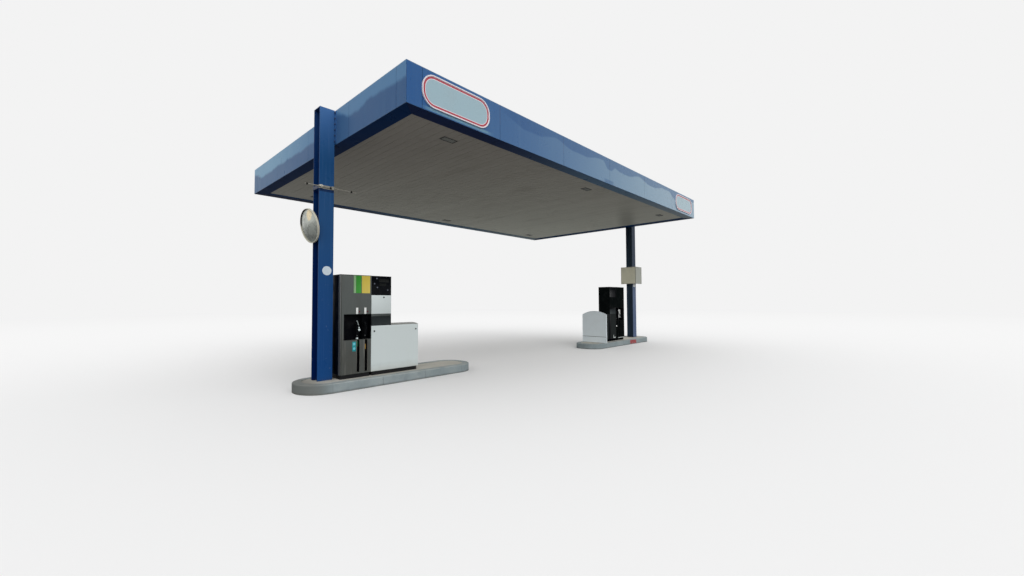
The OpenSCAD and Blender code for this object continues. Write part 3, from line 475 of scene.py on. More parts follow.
def gloss_skin(finish, streaks):
    """Ends a finish with the shine of gloss paint on sheet that isn't quite flat."""
    waves = finish.bump(finish.noise(1.6, 2, (1, 1, 0.6)), 0.03, 0.12)
    return finish.cover(0.2 + 0.2 * finish.noise(3.0, 4) + 0.1 * streaks,
                        finish.grain(180.0, 0.0004, 0.25, waves))


def column_coat(name, color, shaded):
    """Gloss paint on a steel section, chipped near the ground and darker at its foot, with painted light: shade in
    its hollows and under the banner bar, paler towards the top, a deeper blue lower down from the ground's bounce,
    and a greyer tone on the far column.
    """
    coat = Finish(name, color, 0.3, Specular_IOR_Level=0.1, Coat_Roughness=0.15)
    streaks = streaked(coat)
    coat.lay(coat.noise(0.7, 4).over(0.35, 0.75) * 0.16 + streaks * 0.22, 44, 84, 130)
    coat.lay(coat.noise(34.0, 2, (1, 1, 0.03)).over(0.54, 0.72) * 0.14, 84, 116, 156)
    coat.lay(coat.noise(26.0, 4).over(0.66, 0.70) * coat.z.under(0.2, 2.4) * 0.45, 120, 140, 164)
    # Paler towards the top: painted light.
    coat.lay(coat.z.over(3.9, 5.05) * 0.76, 70, 113, 168)
    # Deeper blue lower down: painted bounce light from the ground.
    coat.lay(coat.z.under(0.6, 3.4) * 0.4, 13, 58, 126)
    # Dark line just below the banner bar: painted shadow of the bar.
    coat.lay(coat.z.between(3.472, 3.516, 0.004) * 0.7, 8, 24, 62)
    # The far column gets a greyer tone, paler above and darker below: painted light of the far column under the
    # roof.
    far = coat.x.over(8.0, 9.0)
    coat.lay(far * 0.9, coat.mix(coat.z.over(1.7, 3.0), tone(90, 104, 130), tone(38, 52, 68)))
    # Darker between the flanges, more so lower down: painted shade in the hollows.
    hollow = coat.y.between(FLANGE + 0.002, -FLANGE - 0.002)
    coat.lay(hollow * (0.72 + 0.25 * coat.z.under(1.5, 4.0)), shaded)
    # The far column's hollows turn grey: painted light.
    coat.lay(hollow * far * 0.75, 62, 80, 90)
    # Darker at the foot.
    coat.lay((coat.z + 0.15 * coat.noise(8.0, 4)).under(0.20, 0.30) * 0.4, 40, 46, 56)
    return gloss_skin(coat, streaks)


def fascia_coat(name, paints, end):
    """Gloss paint of the fascia, weathered in streaks, with painted light: two tones with a wavy edge between them
    as a painted reflection, a paler far end and rear as a painted sheen, a pale top line as a painted highlight, and
    a dark return underside as painted shade.
    """
    # The ends take their painted-light copy of the fascia paint, with less shine.
    coat = Finish(name, paints.side if end else paints.fascia, 0.3,
                  Specular_IOR_Level=0.06 if end else 0.2, Coat_Roughness=0.15)
    streaks = streaked(coat)
    edge, size, scale, hills = END_EDGE if end else LONG_EDGE
    edge = edge + size * coat.noise(scale, 4, (1, 1, 0), 0.6)
    for middle, half, rise in hills:
        edge = edge + rise * abs((coat.y if end else coat.x) - middle).under(half * 0.2, half)
    down = (FASCIA_TOP - coat.z) / (FASCIA_TOP - FASCIA_LOW) - edge
    under = coat.z.under(FASCIA_LOW + 0.002, FASCIA_LOW + 0.003)
    if end:
        # Paler towards the rear, a painted sheen on the glancing paint, and a paler upper part, a painted
        # reflection.
        rear, rear_sheen = coat.y.over(0.4, 3.6), tone(150, 196, 218)
        coat.lay(rear * 0.06, rear_sheen)
        coat.lay(down.under(-0.06, 0.07), coat.mix(rear * 0.42, paints.side_top_reflection, rear_sheen))
        # Dark navy underside at the ends: painted shade.
        underside_shade_and_sheen = tone(0, 46, 94)
    else:
        # Paler towards the far end, with more clear coat there: the colour is a painted sheen of the sky on the
        # glancing paint.
        far_share = coat.x.over(-0.3, 9.6)
        coat.lay(far_share, paints.far_sheen_and_streaks)
        # Darker upper band along the front: painted reflection of the surroundings.
        upper = down.under(-0.025, 0.03) * coat.x.over(1.9, 2.5)
        coat.lay(upper * 0.55, 40, 82, 134)
        spot = coat.x.between(5.56, 5.98, 0.08) * coat.z.under(FASCIA_LOW + 0.07, FASCIA_LOW + 0.12)
        coat.lay(spot * 0.8, 10, 84, 132)
        fringe = coat.x.between(LEFT + 0.34, LEFT + 1.62, 0.12) * coat.y.under(0.0, 1.0)
        fringe = fringe * coat.z.between(FASCIA_LOW + 0.018, FASCIA_LOW + 0.062, 0.008)
        coat.lay(fringe * (0.3 + 0.6 * coat.noise(30.0, 2, (1, 1, 0.1))), 120, 164, 178)
        # Underside dark navy near the camera, paling further off: painted shade and painted sheen.
        underside_shade_and_sheen = coat.mix(coat.x.over(1.5, 6.5), tone(0, 34, 84), tone(97, 132, 162))
        underside_shade_and_sheen = coat.mix(coat.x.over(6.0, 11.0), underside_shade_and_sheen, tone(160, 176, 185))
        coat.give(Coat_Weight=far_share * (1 - under) * (1 - 0.6 * upper))
    coat.lay(coat.noise(0.55, 4).over(0.35, 0.75) * 0.10 + streaks * 0.10, paints.far_sheen_and_streaks)
    # Pale line along the top edge: painted highlight.
    coat.lay(coat.z.over(FASCIA_TOP - 0.018, FASCIA_TOP) * 0.35, 150, 168, 182)
    coat.lay(under, underside_shade_and_sheen)
    return gloss_skin(coat, streaks)


def zinc_coat(name, color):
    """Galvanised steel with its spangle and dull streaks."""
    coat = Finish(name, shade(color, 0.78), 0.4, 0.75)
    cells = coat.node("ShaderNodeTexVoronoi", None, {"Vector": coat.point, "Scale": 46.0}, "Color")
    spangle = coat.node("ShaderNodeSeparateColor", None, {0: cells})
    dull = coat.noise(4.0, 4, (1, 0.3, 1)).over(0.35, 0.8)
    coat.lay(spangle * 0.5, shade(color, 1.12))
    coat.lay(dull * 0.45, 116, 114, 108)
    return coat.cover(0.32 + 0.12 * spangle + 0.25 * dull, coat.grain(60.0, 0.0006, 0.2))


def matt_paint(name, color, dirt, grain=240.0, roughness=0.55):
    """Plain paint with light dirt and a fine grain."""
    coat = Finish(name, color, roughness)
    coat.lay(coat.noise(2.2, 4).over(0.4, 0.8) * 0.35, dirt)
    return coat.cover(roughness - 0.06 + 0.12 * coat.noise(14.0, 3), coat.grain(grain, 0.0003, 0.3))


def plank_paint(near, far):
    """Matt paint of the ceiling, a little different on each plank, with water marks, painted light that pales it
    towards the far corner, and a dark smudge by the far column, a painted reflection of that column.
    """
    coat = Finish("ceiling_paint", near, Specular_IOR_Level=0.25)
    plank = ((coat.x - (LEFT + RETURN_WIDTH + 0.0025 + FIRST_PLANK)) / PLANK).floor()
    own = coat.node("ShaderNodeTexWhiteNoise", {"noise_dimensions": "1D"}, {"W": plank})
    dust = coat.noise(22.0, 4)
    # Paler from the near corner towards the far one: painted light.
    coat.lay(((coat.x + coat.y) / 13.0).least(0.0).most(1.0), far)
    coat.lay(own * 0.10, 150, 146, 136)
    coat.lay(coat.noise(1.3, 5, (1.6, 0.5, 1)).over(0.52, 0.80) * 0.20, 140, 133, 118)
    coat.lay(coat.noise(0.9, 3).between(0.60, 0.63, 0.008) * 0.08, 112, 100, 84)
    coat.lay(dust * 0.08, 122, 120, 114)
    # Dark smudge reaching from the far column towards the camera: painted reflection of the column in the ceiling.
    beside = abs((coat.y - 0.136) * 0.894 - (coat.x - FAR_COLUMN) * 0.448)
    coat.lay(beside.under(0.05, 0.42) * coat.x.over(7.2, 10.6) * 0.32, 60, 60, 54)
    waves = coat.bump(coat.noise(2.4, 2, (1, 0.35, 1)), 0.01, 0.15)
    return coat.cover(0.42 + 0.2 * dust, coat.grain(300.0, 0.0002, 0.3, waves))


def cast_concrete(name, color, mark=None):
    """Weathered concrete: grain, pores, dark stains, a paler worn edge, a red patch if given, and painted shade that
    darkens the left end.
    """
    coat = Finish(name, shade(color, 0.82), 0.85)
    grain, pores = coat.noise(160.0, 3), coat.noise(95.0, 2).over(0.66, 0.72)
    coat.lay(coat.noise(1.7, 5).over(0.3, 0.75), shade(color, 1.10))
    coat.lay(coat.noise(5.5, 6, (1, 1, 0.5)).over(0.52, 0.74) * 0.45, shade(color, 0.55))
    coat.lay(grain * 0.35, shade(color, 0.72))
    coat.lay(pores * 0.6, shade(color, 0.35))
    coat.lay((coat.z + 0.03 * coat.noise(12.0, 4)).under(0.02, 0.06) * 0.55, 78, 74, 68)
    crest = coat.z.over(KERB_TOP - 0.022, KERB_TOP - 0.004) * coat.noise(9.0, 4).over(0.35, 0.6)
    coat.lay(crest * 0.30, 178, 176, 166)
    if mark is not None:
        patch = coat.x.between(10.42, 10.88, 0.006) * coat.z.between(0.022, 0.150, 0.005)
        coat.lay(patch * coat.y.under(-0.47, -0.45) * coat.noise(38.0, 4).over(0.30, 0.44) * 0.9, mark)
    # Darker at the island's left end: painted shade.
    coat.lay(coat.x.under(-0.34, 0.02) * 0.72, 92, 92, 86)
    rough = coat.bump(coat.noise(34.0, 5), 0.004, 0.5)
    return coat.cover(0.78 + 0.15 * grain, coat.bump(grain - 0.8 * pores, 0.0012, 0.6, rough))


def brushed_sheet(color, plinth):
    """Brushed steel sheet of a pump tower, smeared, over a black plinth and round black slots."""
    coat = Finish("brushed_sheet", shade(color, 0.86), 0.42, 0.4, Specular_IOR_Level=0.3)
    lines = coat.noise(420.0, 3, (1, 1, 0.012))
    smears = coat.noise(3.4, 5, (1, 1, 0.35)).over(0.42, 0.8)
    low = coat.z.under(0.6, 1.3)
    coat.lay(lines * 0.5, shade(color, 1.08))
    coat.lay(smears * 0.25, 70, 68, 60)
    coat.lay(low * (0.3 + 0.3 * smears), 78, 76, 70)
    coat.lay(coat.noise(22.0, 3, (1, 1, 0.04)).over(0.52, 0.66) * low * 0.40, 138, 137, 131)
    start, end = PUMPS["left"][0], PUMPS["right"][0]
    inward = (end - start) / 2 - abs(coat.x - (end + start) / 2)
    slots = inward.between(0.300, 0.520) * coat.y.between(PUMP_FRONT + 0.002, PUMP_FRONT + 0.128)
    base = coat.z.under(PLINTH - 0.0005, PLINTH + 0.0005)
    base = base.least(slots * coat.z.under(PUMP_FLOOR + 0.70, PUMP_FLOOR + 0.71))
    coat.lay(base, plinth)
    coat.give(Metallic=0.45 * (1 - base))
    return coat.cover(0.34 + 0.18 * smears + 0.1 * lines + 0.15 * base, coat.bump(lines, 0.0003, 0.35))


def enamel(name, color, plinth, dark=None):
    """White enamel over a black plinth, dirty near the ground, darker along the lid, with a dark front of painted
    shade if given.
    """
    coat = Finish(name, color, 0.3, Specular_IOR_Level=0.0 if dark else 0.35)
    coat.lay(coat.noise(3.0, 4).over(0.45, 0.85) * 0.12, 186, 190, 184)
    coat.lay((coat.z + 0.12 * coat.noise(9.0, 5)).under(0.28, 0.46) * 0.28, 136, 130, 116)
    coat.lay(coat.noise(34.0, 3, (1, 1, 0.06)).over(0.62, 0.82) * 0.10, 150, 148, 138)
    # Darker along the lid.
    top = coat.z.between(PUMP_FLOOR + 0.9205, PUMP_FLOOR + 0.990)
    coat.lay(top * 0.9, 118, 118, 111)
    # The far cabinet's front made near black: painted shade.
    if dark is not None:
        coat.lay(coat.y.under(PUMP_FRONT + 0.40, PUMP_FRONT + 0.41).least(top) * 0.97, dark)
    base = coat.z.under(PLINTH - 0.0005, PLINTH + 0.0005)
    coat.lay(base, plinth)
    return coat.cover(0.28 + 0.18 * coat.noise(6.0, 4) + 0.25 * base, coat.grain(160.0, 0.0003, 0.2))


def moulded(name, color, roughness=0.42, grain=420.0, shine=0.06):
    """Moulded plastic or rubber with a fine grain and dusty wear."""
    coat = Finish(name, color, roughness, Specular_IOR_Level=shine)
    dust = coat.noise(7.0, 5).over(0.45, 0.8)
    coat.lay(dust * 0.22, shade(color, 1.03))
    return coat.cover(roughness - 0.05 + 0.22 * dust, coat.grain(grain, 0.0003, 0.4))


def bare_metal(name, color, roughness=0.3):
    """Plain machined or plated metal with handling marks."""
    coat = Finish(name, color, roughness, 0.9)
    marks = coat.noise(60.0, 4)
    coat.lay(marks * 0.4, shade(color, 0.6))
    return coat.cover(roughness - 0.06 + 0.2 * marks)


def sign_print(signs):
    """White plate with one ring that follows its edge; the middle is left bare."""
    coat = Finish("sign_print", signs.rim, 0.25, Coat_Weight=0.3)
    low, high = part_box("left_sign_plate")
    half, corner = (high - low) / 2, 0.225
    middle = (low.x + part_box("right_sign_plate")[1].x) / 2
    reach = abs(coat.x - middle) - (middle - (low.x + high.x) / 2)
    across = (abs(reach) - (half.x - corner)).least(0.0)
    up = (abs(coat.z - (low.z + high.z) / 2) - (half.z - corner)).least(0.0)
    inside = corner - across.away(up)
    start, end = signs.ring_start, signs.ring_start + signs.ring_width
    dust = coat.noise(3.0, 5).over(0.4, 0.85)
    coat.lay(inside.over(end + 0.008, end + 0.010), coat.mix(dust * 0.2, signs.field, tone(150, 160, 164)))
    coat.lay(inside.between(start, end, 0.0012), coat.mix(dust * 0.25, signs.ring, tone(178, 70, 86)))
    return coat.cover(0.22 + 0.2 * dust, coat.grain(5.0, 0.004, 0.1))


def mirror_glass(color):
    """Curved acrylic mirror with grime in blotches; a darker lower part, where the blotches grow denser, and a pale
    warm patch near its top are painted reflections.
    """
    coat = Finish("mirror_glass", color, 0.2, 0.5, Specular_IOR_Level=0.3)
    grime, spots = coat.noise(7.0, 5).over(0.40, 0.70), coat.noise(13.0, 4).over(0.56, 0.66)
    # The lower part, darker and with denser dark blotches: painted reflection.
    low = coat.z.under(2.62, 2.98)
    coat.lay(grime * 0.35, 134, 142, 136)
    coat.lay(low * 0.5, 120, 126, 124)
    coat.lay(spots * (0.15 + 0.45 * low), 78, 88, 92)
    # Pale warm patch near the top: painted reflection.
    warm_reflection = ((coat.y + 0.09) / 0.085).away((coat.z - 3.035) / 0.125) + 0.8 * coat.noise(9.0, 3)
    coat.lay(warm_reflection.under(1.1, 1.45) * 0.9, 240, 222, 184)
    coat.give(Metallic=0.5 - 0.3 * grime)
    return coat.cover(0.18 + 0.25 * grime + 0.2 * spots)


def paper_sheet(name, color, dirt):
    """Painted or printed plate, bare, weathered in clouds and streaks."""
    coat = Finish(name, color, 0.4, Specular_IOR_Level=0.3)
    clouds = coat.noise(4.5, 5).over(0.4, 0.8)
    coat.lay(clouds * 0.22, dirt)
    coat.lay(coat.noise(24.0, 3, (1, 1, 0.08)).over(0.5, 0.85) * 0.15, shade(dirt, 0.85))
    return coat.cover(0.34 + 0.2 * clouds, coat.grain(90.0, 0.0004, 0.25))


# --------------------------------------------------------------- the pieces

def pump_point(side, x, y, z):
    """A point of a pump, from millimetres off its tower's outer front foot."""
    start, way = PUMPS[side]
    return Vector((start + way * x / 1000, PUMP_FRONT + y / 1000, PUMP_FLOOR + z / 1000))


def pump_slab(side, x, y, z, end_x, end_y, end_z, edge=1.0):
    """A slab of a pump, in millimetres."""
    return slab(pump_point(side, x, y, z), pump_point(side, end_x, end_y, end_z), edge / 1000)


def pump_sunk(side, x, y, z, end_x, end_y, end_z, border, depth):
    """A plate with a sunk field on a pump's front."""
    return sunk_slab(pump_point(side, x, y, z), pump_point(side, end_x, end_y, end_z), -Y,
                     border / 1000, depth / 1000, 0.0006)


def pump_ring(side, x, y, z, end_x, end_y, end_z):
    """A narrow frame on a pump's front."""
    return ring_slab(pump_point(side, x, y, z), pump_point(side, end_x, end_y, end_z), Y, 0.006, 0.0008)


def pump_round(side, x, y, z, sides, *rings, aim=-Y):
    """A round part of a pump, from rings of distance and radius."""
    return turned([(far / 1000, radius / 1000) for far, radius in rings], pump_point(side, x, y, z), aim, sides)


class CANOPY_OT_stage(bpy.types.Operator):
    """Adds the floor, the soft light and the camera"""
    bl_idname = "canopy.stage"
    bl_label = "Stage"

    def execute(self, context):
        scene = context.scene
        look = scene.canopy_stage
        scene.view_settings.view_transform = "Standard"
        clear()
        middle = Vector((5.8, 1.0, 0))
        bpy.ops.mesh.primitive_plane_add(size=400, location=middle)
        floor = settle(context.object)
        floor.name = "floor"
        ground = Finish("floor", None, 0.9, Specular_IOR_Level=0.0, Emission_Strength=1.0)
        seen = ground.ray("Camera").least(ground.ray("Transmission"))
        far = (ground.x - middle.x).away(ground.y - middle.y).over(14.0, 60.0)
        dull = ground.mix(ground.ray("Glossy"), (look.bounce,) * 3, (look.bounce * 0.3,) * 3)
        ground.give(Emission_Color=ground.mix(seen * far, BLACK, PALE),
                    Base_Color=ground.mix(far, ground.mix(seen, dull, look.floor), ground.mix(seen, dull, BLACK)))
        floor.data.materials.append(ground.material)

        scene.world = bpy.data.worlds.new("Soft light")
        air = Shader(scene.world, "Background")
        shown = air.ray("Camera").least(air.ray("Glossy")).least(air.ray("Transmission"))
        air.give(Color=air.mix(shown, (look.sky,) * 3, PALE))

        bpy.ops.object.light_add(type="SUN", location=(-4, -12, 9))
        lamp = context.object
        lamp.data.energy = look.sun
        lamp.data.angle = radians(60)
        lamp.rotation_euler = Vector((-0.35, -1.0, 0.55)).to_track_quat("Z", "Y").to_euler()

        ahead = Vector((-sin(look.turn), cos(look.turn), 0))
        right = Vector((cos(look.turn), sin(look.turn), 0))
        aim = cos(look.rise) * ahead + sin(look.rise) * Z
        up = cos(look.rise) * Z - sin(look.rise) * ahead
        side = cos(look.roll) * right + sin(look.roll) * up
        top = cos(look.roll) * up - sin(look.roll) * right
        place = Vector((-3.027, -7.434, 1.510))
        bpy.ops.object.camera_add()
        camera = context.object
        camera.matrix_world = Matrix([(*row, 0) for row in (side, top, -aim)] + [(*place, 1)]).transposed()
        camera.data.sensor_fit = "HORIZONTAL"
        camera.data.sensor_width = 36
        camera.data.lens = look.lens
        camera.data.clip_end = 500
        scene.camera = camera
        return {"FINISHED"}


class CANOPY_OT_steelwork(bpy.types.Operator):
    """Paints the columns and adds bolts, grout and the round plate"""
    bl_idname = "canopy.steelwork"
    bl_label = "Steelwork"

    def execute(self, context):
        look = context.scene.canopy_paints
        dress(column_coat("column_paint", look.column, look.shaded), "left_column", "right_column")
        dress(matt_paint("primer", look.primer, tone(70, 52, 46)),
              "main_beam", "ribs", "edge_channels", "fascia_posts", "fascia_rails")

        first = bolt((LEFT - 0.012, -0.150, 4.41), -X)
        bolts = [first] + [again(first, (0, y, row * 0.104)) for row in range(6) for y in (0, 0.300) if y or row]
        dark = matt_paint("bolt_paint", tone(22, 48, 92), tone(52, 60, 74), 300.0, 0.4)
        near = one("left_column_bolts", bolts, dark)
        one("right_column_bolts", [mirrored(near, FAR_COLUMN / 2)], dark)

        blocks = []
        for column_x in (0.0, FAR_COLUMN):
            for way in (-1, 1):
                block = slab((column_x + way * 0.0036, FLANGE + 0.0130, 0.026),
                             (column_x + way * 0.1295, -FLANGE - 0.0130, 0.150), 0)
                pick(block, facing(Z))
                bpy.ops.transform.resize(value=(0.90, 0.94, 1), center_override=(column_x, 0, 0.150))
                blocks.append(soften(tidy(block), 0.006))
        one("column_grout", blocks, cast_concrete("grout", context.scene.canopy_ground.slab))

        radius = context.scene.canopy_signs.sticker
        plate = turned([(0, radius), (0.0010, radius), (0.0016, radius - 0.0003)], (0.019, FLANGE, 2.077), -Y, 64)
        one("column_plate", [plate],
            paper_sheet("sticker", tone(200, 213, 222), tone(176, 186, 194)))
        return {"FINISHED"}


class CANOPY_OT_roof(bpy.types.Operator):
    """Finishes the roof covering and adds the deck's screws"""
    bl_idname = "canopy.roof"
    bl_label = "Roof"

    def execute(self, context):
        dress(zinc_coat("galvanised", context.scene.canopy_paints.zinc), "purlins", "front_deck", "rear_deck",
              "ridge_cap", "front_gutter", "rear_gutter", "ceiling_rails")
        # Ridge level, fall to the eaves, half the beam, and the eaves' distance from the fascia's face
        ridge, fall, beam_half, eaves = 4.830, 0.200, 0.090, 0.212
        # The outer purlins' distance from a slope's ends, a purlin's width, and the deck's top over the slope
        margin, purlin, deck_top = 0.060, 0.045, 0.080 + 0.038 + 0.001
        start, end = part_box("front_deck")[0].x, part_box("front_deck")[1].x
        folds = int((end - start) / DECK_FOLD)
        first_crest = start + (end - start - folds * DECK_FOLD) / 2 + DECK_FOLD / 2
        screws = []
        for way, edge, count in ((-1, FRONT, 3), (1, REAR, 5)):
            run = abs(edge) - eaves - beam_half
            slope = atan(fall / run)
            spread = run / cos(slope) - 2 * margin - purlin
            aim = Vector((0, way * sin(slope), cos(slope)))
            for row in range(count):
                down = margin + row * spread / (count - 1) + 0.020
                place = Vector((first_crest, way * (beam_half + down * cos(slope) + deck_top * sin(slope)),
                                ridge - down * sin(slope) + deck_top * cos(slope)))
                first = turned([(0, 0.009), (0.0012, 0.009), (0.0016, 0.0055), (0.006, 0.005)], place, aim, 6)
                screws += [first] + [again(first, (i * DECK_FOLD, 0, 0)) for i in range(1, folds)]
        one("deck_screws", screws, bare_metal("screw_metal", tone(170, 172, 172), 0.35))
        return {"FINISHED"}


class CANOPY_OT_fascia(bpy.types.Operator):
    """Paints the fascia and adds the strips behind its joints and its rolled lower edge"""
    bl_idname = "canopy.fascia"
    bl_label = "Fascia"

    def execute(self, context):
        look = context.scene.canopy_paints
        dress(fascia_coat("fascia_paint", look, False), "front_fascia", "rear_fascia")
        dress(fascia_coat("end_fascia_paint", look, True), "left_fascia", "right_fascia")
        strips = []
        for size, panels, at in (
                (RIGHT - LEFT, LONG_PANELS, lambda d, w: (LEFT + d, FRONT + w)),
                (RIGHT - LEFT, LONG_PANELS, lambda d, w: (LEFT + d, REAR - w)),
                (REAR - FRONT, END_PANELS, lambda d, w: (LEFT + w, FRONT + d)),
                (REAR - FRONT, END_PANELS, lambda d, w: (RIGHT - w, FRONT + d))):
            low = FASCIA_LOW + 0.0021
            for joint in (CORNER_PANEL, *(i * size / panels for i in range(1, panels)), size - CORNER_PANEL):
                for near, far, top in ((0.0021, 0.0036, FASCIA_TOP - 0.0021),
                                       (0.0040, RETURN_WIDTH - 0.003, FASCIA_LOW + 0.0036)):
                    strips.append(slab((*at(joint - 0.025, near), low), (*at(joint + 0.025, far), top), 0.0004, 1))
        one("fascia_joint_strips", strips, moulded("joint_strip", tone(12, 26, 50), 0.6))

        radius, inset = 0.0045, 0.0035
        corners = [Vector((x, y, FASCIA_LOW + inset)) for x, y in (
            (LEFT + inset, FRONT + inset), (RIGHT - inset, FRONT + inset),
            (RIGHT - inset, REAR - inset), (LEFT + inset, REAR - inset))]
        beads = []
        for start, end in zip(corners, corners[1:] + corners[:1]):
            run = (end - start).length
            beads.append(turned([(-0.002, radius * 0.5), (0, radius), (run, radius), (run + 0.002, radius * 0.5)],
                                start, end - start, 12))
        one("fascia_lower_edge", beads, moulded("edge_paint", tone(52, 86, 126), 0.35, 180.0, 0.2))
        return {"FINISHED"}


class CANOPY_OT_ceiling(bpy.types.Operator):
    """Paints the ceiling and adds the lights' gaskets and screws"""
    bl_idname = "canopy.ceiling"
    bl_label = "Ceiling"

    def execute(self, context):
        look = context.scene.canopy_paints
        dress(plank_paint(look.ceiling, look.ceiling_far_light), "ceiling_planks")
        low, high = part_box("ceiling_planks")
        first = slab((low.x + 0.2497, low.y + 0.001, low.z + 0.003),
                     (low.x + 0.2552, high.y - 0.001, low.z + 0.0045), 0)
        strips = [first] + [again(first, (i * PLANK, 0, 0)) for i in range(1, PLANKS - 1)]
        one("ceiling_joint_strips", strips,
            matt_paint("joint_paint", shade(look.ceiling, 0.86), tone(112, 108, 100)))
        dress(matt_paint("light_paint", look.light, tone(70, 72, 72), 300.0, 0.4), "ceiling_lights")
        glass = Finish("frosted_glass", look.lens, 0.35, Coat_Weight=0.4)
        dirt = glass.noise(9.0, 4).over(0.4, 0.8)
        ribs = (glass.y * (2 * pi / 0.004)).sine()
        glass.lay(dirt * 0.4, 116, 116, 106)
        dress(glass.cover(0.3 + 0.2 * dirt, glass.bump(ribs, 0.001, 0.5)), "light_glasses")
        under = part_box("ceiling_lights")[0].z
        gaskets, screws = [], []
        for x, y in LIGHTS:
            gaskets.append(ring_slab((x - 0.139, y - 0.069, under - 0.0012),
                                     (x + 0.139, y + 0.069, under + 0.003), Z, 0.010, 0.0004))
            screws += [screw((x + sx * 0.1445, y + sy * 0.0735, under), -Z, 0.0036, 0.0018)
                       for sx in (-1, 1) for sy in (-1, 1)]
        one("light_gaskets", gaskets, moulded("gasket_rubber", tone(24, 25, 26), 0.6))
        one("light_screws", screws, bare_metal("light_screw_metal", tone(140, 142, 142)))
        return {"FINISHED"}


class CANOPY_OT_signs(bpy.types.Operator):
    """Finishes the oval sign plates and adds their fixings"""
    bl_idname = "canopy.signs"
    bl_label = "Signs"

    def execute(self, context):
        plates = ("left_sign_plate", "right_sign_plate")
        dress(sign_print(context.scene.canopy_signs), *plates)
        heads = [screw(((low.x + high.x) / 2 + way * 0.42, low.y, z), -Y, 0.0045, 0.0022)
                 for low, high in map(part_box, plates) for way in (-1, 1) for z in (low.z + 0.008, high.z - 0.008)]
        one("sign_screws", heads, bare_metal("sign_screw_metal", tone(188, 190, 190)))
        return {"FINISHED"}


class CANOPY_OT_islands(bpy.types.Operator):
    """Finishes the pump islands and fills the kerb's joints"""
    bl_idname = "canopy.islands"
    bl_label = "Islands"

    def execute(self, context):
        look = context.scene.canopy_ground
        dress(cast_concrete("kerb_concrete", look.stone), "left_kerb")
        dress(cast_concrete("marked_kerb_concrete", look.stone, look.mark), "right_kerb")
        dress(cast_concrete("slab_concrete", look.slab), "left_island_slab", "right_island_slab")
        half, sunk_side, sunk_top = 0.0045, 0.004, 0.005
        joints = []
        for low, high in map(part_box, ("left_kerb", "right_kerb")):
            run = high.x - low.x - 2 * KERB_END
            stones = round(run)
            for i in range(stones + 1):
                x = low.x + KERB_END + i * run / stones
                for outer, way in ((low.y, 1), (high.y, -1)):
                    joint = slab((x - half, outer, 0.001), (x + half, outer + way * KERB_WIDTH, KERB_TOP), 0)
                    pick(joint, facing(-way * Y))
                    bpy.ops.transform.translate(value=(0, way * sunk_side, 0))
                    pick(joint, facing(Z))
                    bpy.ops.transform.translate(value=(0, 0, -sunk_top))
                    joints.append(soften(tidy(joint), 0.003))
            y = (low.y + high.y) / 2
            for outer, way in ((low.x, 1), (high.x, -1)):
                joints.append(slab((outer + way * sunk_side, y - half, 0.001),
                                   (outer + way * KERB_WIDTH, y + half, KERB_TOP - sunk_top), 0.003))
        one("kerb_mortar", joints, cast_concrete("mortar", look.mortar))
        return {"FINISHED"}


def rim_shade(finish):
    """Where the mirror's rim is darker, at its upper far part: painted shade."""
    return finish.z.over(2.84, 2.94) * finish.y.over(-0.05, 0.05)


